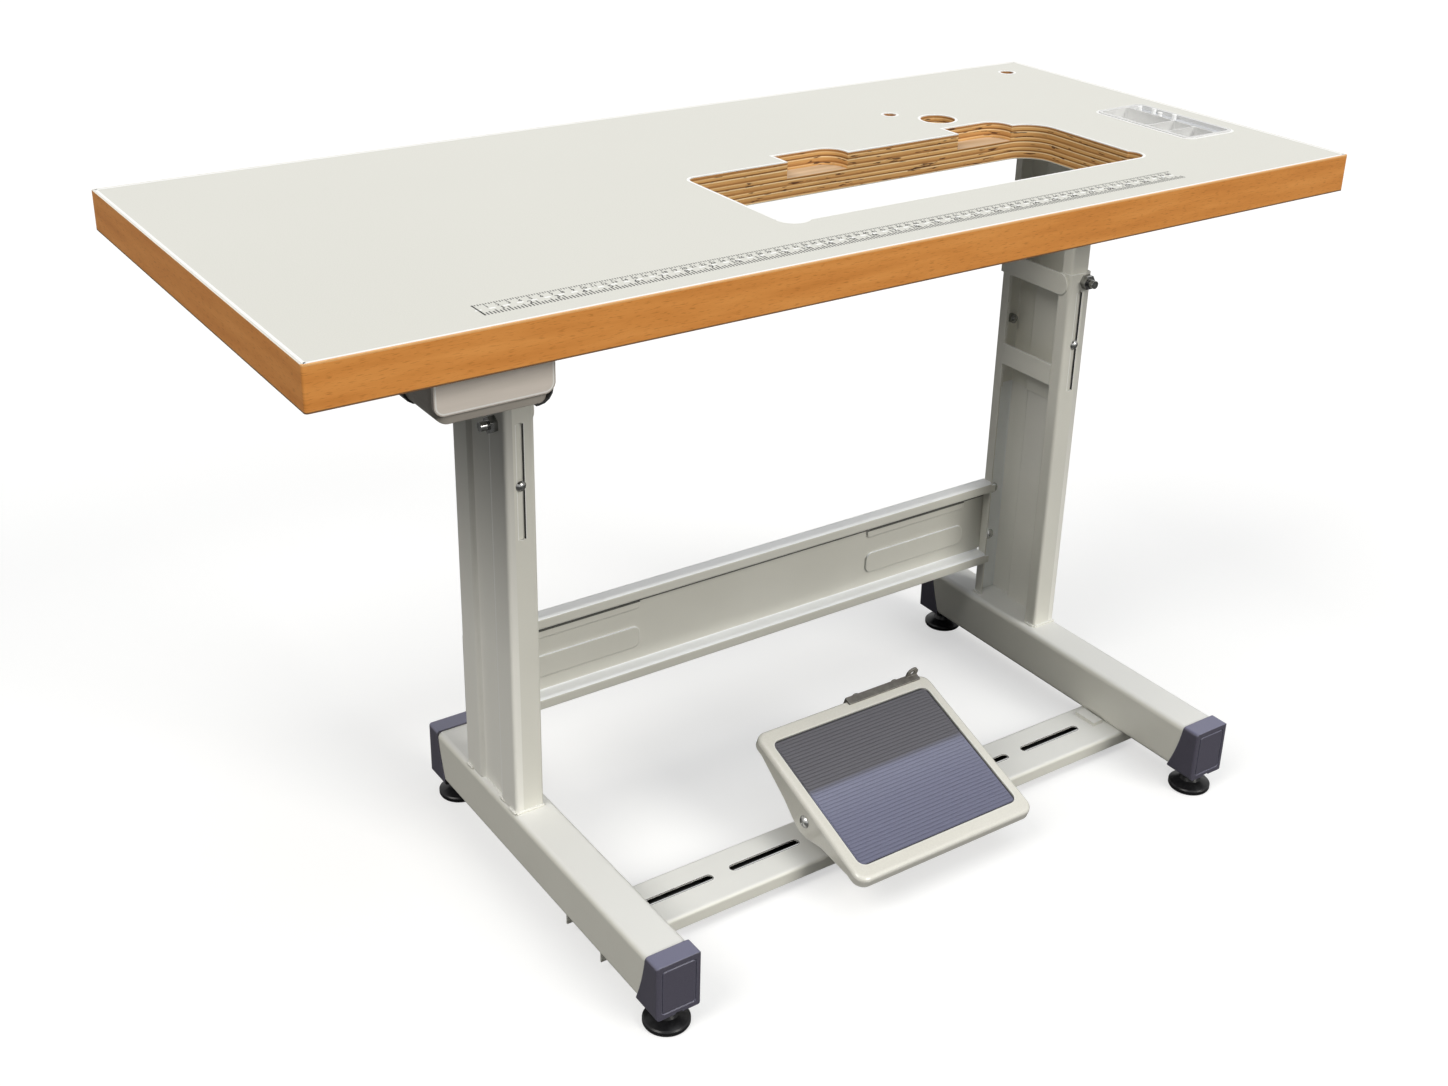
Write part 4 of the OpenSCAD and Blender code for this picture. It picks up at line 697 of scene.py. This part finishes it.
bead_places = (
    ("inner_rear_right", right_column_low.x - bead_off, column_high.y - 0.007, 0),
    ("inner_front_right", right_column_low.x - bead_off, column_low.y + 0.008, 0),
    ("front_right_1", right_column_high.x - 0.028, bead_front, 90),
    ("front_right_2", right_column_high.x - 0.0175, bead_front, 90),
    ("front_right_3", right_column_high.x - 0.007, bead_front, 90),
    ("outer_rear_left", column_low.x - bead_off, column_high.y - 0.008, 0),
    ("outer_front_left", column_low.x - bead_off, column_low.y + 0.008, 0),
    ("front_left_1", column_high.x - 0.028, bead_front, 90),
    ("front_left_2", column_high.x - 0.0175, bead_front, 90),
    ("front_left_3", column_high.x - 0.007, bead_front, 90),
    ("flute_left", column_low.x + 0.0012, column_low.y + 0.033, 0),
    ("outer_rear_right", right_column_high.x + bead_off, column_high.y - 0.008, 0),
    ("rear_right", right_column_high.x - 0.017, bead_rear, 90),
    ("rear_left", column_low.x + 0.017, bead_rear, 90),
)
for name, x, y, turned in bead_places:
    copy = bpy.data.objects.new("weld_" + name, bead.data.copy())
    bpy.context.collection.objects.link(copy)
    copy.data.transform(Matrix.Translation((x, y, 0)) @ Matrix.Rotation(math.radians(turned), 4, "Z"))
    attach(copy, "stand")
bpy.data.objects.remove(bead)


# The brace: a pressed channel, bolted behind the columns, with two pads pressed forward near each end,
# whose edges fall off softly. Its web is painted dark under the upper lip and at the right column, as
# painted shade, which reaches further past each of them the deeper the web lies, by shade_fall downwards and
# shade_shift sideways.
brace_low, brace_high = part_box("back_brace")
brace_lip_h = 0.0140
brace_web_reach = 0.0060
shade_under_lip = 0.0020
shade_at_column = 0.0030
shade_fall = 0.573
shade_shift = 0.764


def brace_wear(nodes, links, tone):
    """Painted shade on the upright faces, painted light on the upper faces, and painted shade behind the
    lips
    """
    place = split_place(nodes, links)
    direction = facing(nodes, links)
    depth = brace_high.y - brace_low.y
    shade_z = brace_high.z - (brace_lip_h + depth * shade_fall + shade_under_lip)
    shade_x = right_column_low.x + depth * shade_shift - shade_at_column
    hidden = arithmetic(nodes, links, "MAXIMUM", above(nodes, links, place["Z"], shade_z),
                        above(nodes, links, place["X"], shade_x))
    on_web = above(nodes, links, place["Y"], brace_high.y - brace_web_reach)
    painted_shade = overlap(nodes, links, on_web, below(nodes, links, direction["Y"], -0.5), hidden)
    # Painted shade on the upright faces and behind the lips, and painted light on the upper faces.
    upright_shaded = mixed(nodes, links, 1.0, tone, (0.87, 0.87, 0.87), "MULTIPLY")
    upright_shaded = mixed(nodes, links, painted_shade, upright_shaded, (0.10, 0.10, 0.09))
    upper = above(nodes, links, direction["Z"], 0.5)
    return mixed(nodes, links, upper, upright_shaded, (0.95, 0.97, 0.99))


brace_coat = painted("brace_coat", 0.0026, brace_wear)
coat(brace_coat, "back_brace")


# The slotted bar under the feet: a channel with lips turned in along its lower edges. It is coated outside,
# and all that lies inside its sheet, the lips included, is painted black as painted shade, so that its slots
# look black; round the slots it has painted highlights with a painted shadow line at their edges. Its left
# end stops a little short of the foot tube's outer side.
bar_low, bar_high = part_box("treadle_bar")
bar_sheet = 0.002
bar_set_back = 0.0065
bar_end_reach = 0.001
bar_end_free = 0.030
inner_shade_edge = bar_sheet * 0.8
slot_zone_half_w = 0.0125
slot_zone_half_l = 0.335
lip_w = 0.020
lip_short = 0.0180
lip_shift = 0.008
lip_round = 0.0006
bar = merged_copy("slotted_bar", "treadle_bar")
bpy.ops.mesh.select_all(action="DESELECT")
bpy.ops.object.mode_set(mode="OBJECT")
for corner in bar.data.vertices:
    corner.select = corner.co.x < bar_low.x + bar_end_reach
bpy.ops.object.mode_set(mode="EDIT")
bpy.ops.transform.translate(value=(bar_set_back, 0, 0))
bpy.ops.mesh.select_all(action="SELECT")
bpy.ops.object.mode_set(mode="OBJECT")


def bar_wear(nodes, links, tone):
    """Painted black shade on all that lies inside the channel's sheet, and painted highlights round the
    slots with painted shadow at their edges
    """
    place = split_place(nodes, links)
    across = off_middle(nodes, links, place["Y"], bar_low.y, bar_high.y)
    along = off_middle(nodes, links, place["X"], bar_low.x, bar_high.x)
    inside = overlap(nodes, links,
                     below(nodes, links, across, (bar_high.y - bar_low.y) / 2 - inner_shade_edge),
                     below(nodes, links, place["Z"], tube_low.z - inner_shade_edge),
                     below(nodes, links, along, (bar_high.x - bar_low.x) / 2 - bar_end_free))
    slots = overlap(nodes, links, below(nodes, links, across, slot_zone_half_w),
                    below(nodes, links, along, slot_zone_half_l))
    # Painted highlights round the slots, a painted shadow line at their edges, and painted black shade
    # inside.
    pale = above(nodes, links, edge_share(nodes, links, 0.0036), 0.03)
    dark = above(nodes, links, edge_share(nodes, links, 0.0020), 0.03)
    tone = mixed(nodes, links, overlap(nodes, links, pale, slots), tone, (0.97, 0.97, 0.96))
    inner_shade = arithmetic(nodes, links, "MAXIMUM", inside, overlap(nodes, links, dark, slots))
    return mixed(nodes, links, inner_shade, tone, (0.012, 0.012, 0.012))


bar_coat = painted("bar_coat", 0.0012, bar_wear)
bar.data.materials.clear()
bar.data.materials.append(bar_coat)
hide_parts("treadle_bar")
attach(bar, "stand")
lip_x = (bar_low.x + bar_high.x) / 2 + lip_shift
for side, y in (("front", bar_low.y + bar_sheet + lip_w / 2), ("rear", bar_high.y - bar_sheet - lip_w / 2)):
    bpy.ops.mesh.primitive_cube_add(size=1, location=(lip_x, y, bar_low.z + bar_sheet / 2))
    lip = bpy.context.object
    lip.name = "bar_lip_" + side
    lip.scale = (bar_high.x - bar_low.x - lip_short, lip_w, bar_sheet)
    bpy.ops.object.transform_apply(location=True, rotation=False, scale=True)
    rounding = lip.modifiers.new("rounding", "BEVEL")
    rounding.width = lip_round
    rounding.segments = 2
    bpy.ops.object.modifier_apply(modifier="rounding")
    lip.data.materials.append(bar_coat)
    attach(lip, "stand")


# Fasteners: screws, studs, nuts and bolts of steel, with a zinc plating that has dulled to a dark grey in
# places. They hold the mounting plates, posts, clamps, glides, bar and carrier.
zinc, nodes, links, shader, cloud = clouded(
    "zinc", (0.30, 0.30, 0.295), 0.20, 160, 3.0,
    (0.30, (0.16, 0.16, 0.155)), (0.65, (0.40, 0.40, 0.39)))
shader.inputs["Metallic"].default_value = 1.0
relief(nodes, links, shader, cloud, 0.00005, 0.4, 0.0004)
coat(zinc, "left_plate_screws", "right_plate_screws", "left_slot_screws", "right_slot_screws",
     "left_clamp_stud", "right_clamp_stud", "left_weld_nuts", "right_weld_nuts",
     "left_bar_bolts", "right_bar_bolts", "carrier_bolts")


# The brace's bolts and the treadle's pivot bolts: zinc-plated steel like the other fasteners, but newer,
# so that their plating is paler.
pale_zinc, nodes, links, shader, cloud = clouded(
    "pale_zinc", (0.45, 0.45, 0.44), 0.26, 160, 3.0,
    (0.30, (0.32, 0.32, 0.31)), (0.65, (0.58, 0.58, 0.57)))
shader.inputs["Metallic"].default_value = 0.9
relief(nodes, links, shader, cloud, 0.00005, 0.4, 0.0004)
coat(pale_zinc, "left_brace_bolts", "right_brace_bolts", "pivot_bolts")


# The tool tray: one white injection moulding, pressed into the routed pocket until its rim seats. Its deck
# on the right looks bluer than the rest, and the pegs on the deck are the whitest part of it.
tray_low, tray_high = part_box("tool_tray")
deck_left = 0.0264
deck_right = 0.0048
deck_margin = 0.005
deck_down = 0.0055
tray_white, nodes, links, shader = finish("tray_white", (0.86, 0.87, 0.87), 0.25)
grain = noise(nodes, links, object_place(nodes, links), 700, 2.0)
tone = ramp(nodes, links, grain, [(0.3, (0.700, 0.700, 0.695)), (0.7, (0.735, 0.735, 0.730))])
place = split_place(nodes, links)
on_deck = overlap(
    nodes, links,
    between(nodes, links, place["X"], tray_high.x - deck_left, tray_high.x - deck_right),
    between(nodes, links, place["Y"], tray_low.y + deck_margin, tray_high.y - deck_margin))
low = below(nodes, links, place["Z"], tray_high.z - deck_down)
pegs = overlap(nodes, links, on_deck, arithmetic(nodes, links, "SUBTRACT", 1.0, low))
tone = mixed(nodes, links, overlap(nodes, links, on_deck, low), tone, (0.58, 0.595, 0.625))
links.new(mixed(nodes, links, pegs, tone, (0.97, 0.97, 0.97)), shader.inputs["Base Color"])
relief(nodes, links, shader, grain, 0.00003, 0.4, 0.0008)
coat(tray_white, "tool_tray")


# The pencil drawer: a moulded box of warm grey plastic with a flat front panel, in two black steel
# hangers that are screwed under the worktop. The panel has a painted highlight line just inside its side and
# lower edges, and painted shade outside the line; the box behind it is painted darker as painted shade.
panel_low, panel_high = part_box("drawer_front")
panel_corner = 0.010
line_out = 0.0012
line_w = 0.0014
drawer_grey, nodes, links, shader = finish("drawer_grey", (0.86, 0.79, 0.71), 0.34)
cloud = noise(nodes, links, object_place(nodes, links, (4, 4, 40)), 3.0, 4.0)
tone = ramp(nodes, links, cloud, [(0.3, (0.80, 0.73, 0.655)), (0.7, (0.87, 0.79, 0.72))])
place = split_place(nodes, links)
past_side = arithmetic(nodes, links, "MAXIMUM", 0.0, arithmetic(
    nodes, links, "SUBTRACT", off_middle(nodes, links, place["X"], panel_low.x, panel_high.x),
    (panel_high.x - panel_low.x) / 2 - panel_corner))
past_end = arithmetic(nodes, links, "MAXIMUM", 0.0, arithmetic(
    nodes, links, "SUBTRACT", panel_low.z + panel_corner, place["Z"]))
from_corner = arithmetic(nodes, links, "SQRT", arithmetic(
    nodes, links, "ADD", arithmetic(nodes, links, "MULTIPLY", past_side, past_side),
    arithmetic(nodes, links, "MULTIPLY", past_end, past_end)))
line_edge = panel_corner - line_out
# Painted shade outside the line, and a painted highlight on the line.
shaded = above(nodes, links, from_corner, line_edge)
tone = mixed(nodes, links, arithmetic(nodes, links, "MULTIPLY", shaded, 0.5), tone, (0.45, 0.41, 0.37))
line = between(nodes, links, from_corner, line_edge - line_w, line_edge)
links.new(mixed(nodes, links, line, tone, (0.99, 0.97, 0.93)), shader.inputs["Base Color"])
grain = noise(nodes, links, object_place(nodes, links), 600, 2.0)
relief(nodes, links, shader, grain, 0.00003, 0.4, 0.0012)
coat(drawer_grey, "drawer_front")

# The box is painted much darker than the panel, as the shade under the worktop.
drawer_body_shaded, nodes, links, shader = finish("drawer_body_shaded", (0.36, 0.33, 0.295), 0.40)
cloud = noise(nodes, links, object_place(nodes, links, (4, 4, 40)), 3.0, 4.0)
tone = ramp(nodes, links, cloud, [(0.3, (0.335, 0.305, 0.270)), (0.7, (0.385, 0.355, 0.315))])
links.new(tone, shader.inputs["Base Color"])
grain = noise(nodes, links, object_place(nodes, links), 600, 2.0)
relief(nodes, links, shader, grain, 0.00003, 0.4, 0.0012)
coat(drawer_body_shaded, "drawer_box")

hanger_black, nodes, links, shader, cloud = clouded(
    "hanger_black", (0.025, 0.025, 0.025), 0.42, 90, 3.0,
    (0.3, (0.018, 0.018, 0.018)), (0.7, (0.035, 0.035, 0.034)))
relief(nodes, links, shader, cloud, 0.00004, 0.4, 0.0005)
coat(hanger_black, "left_drawer_runner", "right_drawer_runner", "runner_screws")

# The front hanger: a short length of the same black bent strip as the right hanger, fixed under the worktop
# close behind the drawer's front panel.
hanger_w = 0.010
hanger_clear = 0.0001
runner_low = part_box("right_drawer_runner")[0]
front_hanger = merged_copy("front_hanger", "right_drawer_runner")
bpy.ops.mesh.bisect(
    plane_co=(0, runner_low.y + hanger_w, 0), plane_no=(0, 1, 0), use_fill=True, clear_outer=True)
bpy.ops.mesh.select_all(action="SELECT")
bpy.ops.transform.translate(value=(0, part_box("drawer_box")[0].y - runner_low.y + hanger_clear, 0))
bpy.ops.object.mode_set(mode="OBJECT")
front_hanger.data.materials.clear()
front_hanger.data.materials.append(hanger_black)
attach(front_hanger, "worktop")
front_hanger.select_set(False)


# The end caps: dark violet-grey mouldings that are driven over the ends of the foot tubes. Their tops are
# painted paler and bluer as a painted sky reflection, their edges carry a painted highlight, and the rear
# ones have a painted shadow at their mouths, round the tubes.
mouth_depth = 0.0012
cap_plastic, nodes, links, shader = finish("cap_plastic", (0.068, 0.064, 0.090), 0.34)
grain = noise(nodes, links, object_place(nodes, links), 1100, 2.0)
sides = ramp(nodes, links, grain, [(0.3, (0.072, 0.068, 0.096)), (0.7, (0.090, 0.085, 0.116))])
direction = facing(nodes, links)
# A painted sky reflection on the tops, and a painted highlight on the edges.
painted_light_share = climb(nodes, links, direction["Z"], 0.35, 0.95)
tone = mixed(nodes, links, painted_light_share, sides, (0.165, 0.165, 0.245))
edge_highlight = above(nodes, links, edge_share(nodes, links, 0.0022), 0.10)
tone = mixed(nodes, links, arithmetic(nodes, links, "MULTIPLY", edge_highlight, 0.55), tone, (0.20, 0.20, 0.28))
rear_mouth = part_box("rear_left_cap")[0].y + mouth_depth
# A painted shadow at the rear caps' mouths.
mouth_shadow = overlap(nodes, links, between(nodes, links, split_place(nodes, links)["Y"], 0.0, rear_mouth),
                below(nodes, links, direction["Y"], -0.5))
links.new(mixed(nodes, links, mouth_shadow, tone, (0.008, 0.008, 0.010)), shader.inputs["Base Color"])
relief(nodes, links, shader, grain, 0.00006, 0.5, 0.0018)
coat(cap_plastic, "front_left_cap", "front_right_cap", "rear_left_cap", "rear_right_cap")


# The glides: black nylon pads on threaded studs, screwed into the weld nuts of the foot tubes. They level
# the table.
glide_black, nodes, links, shader, scuff = clouded(
    "glide_black", (0.010, 0.010, 0.011), 0.28, 220, 4.0,
    (0.3, (0.007, 0.007, 0.008)), (0.7, (0.015, 0.015, 0.016)))
shader.inputs["Specular IOR Level"].default_value = 0.22
relief(nodes, links, shader, scuff, 0.00006, 0.4, 0.0007)
coat(glide_black, "front_left_glide", "front_right_glide", "rear_left_glide", "rear_right_glide")


# The treadle: a cream moulding with rounded rims and skirts, whose edges carry a painted highlight. It rocks
# on two pivot bolts in the carrier's ears.
treadle_cream, nodes, links, shader = finish("treadle_cream", (0.76, 0.745, 0.675), 0.22)
shader.inputs["Coat Weight"].default_value = 0.35
shader.inputs["Coat Roughness"].default_value = 0.12
grain = noise(nodes, links, object_place(nodes, links), 500, 2.0)
tone = ramp(nodes, links, grain, [(0.3, (0.700, 0.685, 0.625)), (0.7, (0.740, 0.725, 0.665))])
# A painted highlight on the edges.
edge_highlight = above(nodes, links, edge_share(nodes, links, 0.0040), 0.06)
edge_highlight = arithmetic(nodes, links, "MULTIPLY", edge_highlight, 0.6)
links.new(mixed(nodes, links, edge_highlight, tone, (0.93, 0.925, 0.90)), shader.inputs["Base Color"])
relief(nodes, links, shader, grain, 0.00005, 0.4, 0.0010)
coat(treadle_cream, "treadle_frame")

# The mat: ribbed rubber, laid in the treadle. Its upper part is dark grey, its lower part is worn to a blue
# grey that is painted lighter up the slope as a painted highlight, and a painted shadow line runs round its
# border. Places on it are measured up its slope, at the tilt that it rests at.
mat_low, mat_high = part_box("treadle_mat")
mat_tilt = math.radians(20)
mat_slopes = [corner.co.y * math.cos(mat_tilt) + corner.co.z * math.sin(mat_tilt)
              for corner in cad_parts["treadle_mat"].data.vertices]
side_shadow_w = 0.0018
end_shadow_w = 0.0021
mat_foot = min(mat_slopes) + end_shadow_w
mat_head = max(mat_slopes) - end_shadow_w
highlight_top = mat_foot + 0.101
change_low = mat_foot + 0.099
change_high = mat_foot + 0.108
mat_rubber, nodes, links, shader = finish("mat_rubber", (0.19, 0.195, 0.265), 0.55)
place = split_place(nodes, links)
up_slope = arithmetic(nodes, links, "ADD",
                      arithmetic(nodes, links, "MULTIPLY", place["Y"], math.cos(mat_tilt)),
                      arithmetic(nodes, links, "MULTIPLY", place["Z"], math.sin(mat_tilt)))
# A painted highlight: the blue grey grows lighter up the slope.
lower_tone = ramp(nodes, links, climb(nodes, links, up_slope, mat_foot, highlight_top), [
    (0.0, (0.150, 0.155, 0.230)), (0.55, (0.180, 0.187, 0.270)), (0.9, (0.225, 0.235, 0.325))])
upper_part = climb(nodes, links, up_slope, change_low, change_high)
tone = mixed(nodes, links, upper_part, lower_tone, (0.125, 0.123, 0.14))
# A painted shadow line round the border.
at_side = above(nodes, links, off_middle(nodes, links, place["X"], mat_low.x, mat_high.x),
                (mat_high.x - mat_low.x) / 2 - side_shadow_w)
at_end = arithmetic(nodes, links, "SUBTRACT", 1.0, between(nodes, links, up_slope, mat_foot, mat_head))
border_shadow = arithmetic(nodes, links, "MAXIMUM", at_side, at_end)
tone = mixed(nodes, links, border_shadow, tone, (0.030, 0.030, 0.034))
grain = noise(nodes, links, object_place(nodes, links), 800, 2.0)
tone = mixed(nodes, links, 0.5, tone, ramp(nodes, links, grain, [
    (0.3, (0.8, 0.8, 0.8)), (0.7, (1, 1, 1))]), "MULTIPLY")
links.new(tone, shader.inputs["Base Color"])
relief(nodes, links, shader, grain, 0.00008, 0.5, 0.0004)
coat(mat_rubber, "treadle_mat")


# The bracket on the treadle's back rim: a bent strip of bare dark steel, with a drilled ear at its right
# end and a painted highlight along its edges. Two zinc-plated screws hold it.
bare_steel, nodes, links, shader = finish("bare_steel", (0.20, 0.19, 0.17), 0.42)
shader.inputs["Metallic"].default_value = 0.85
cloud = noise(nodes, links, object_place(nodes, links), 130, 4.0)
tone = ramp(nodes, links, cloud, [(0.3, (0.17, 0.16, 0.145)), (0.7, (0.23, 0.22, 0.20))])
# A painted highlight on the edges.
edge_highlight = above(nodes, links, edge_share(nodes, links, 0.0010), 0.10)
links.new(mixed(nodes, links, edge_highlight, tone, (0.42, 0.41, 0.38)), shader.inputs["Base Color"])
relief(nodes, links, shader, cloud, 0.00002, 0.4, 0.0005)
coat(bare_steel, "link_bracket")
coat(zinc, "link_screws")
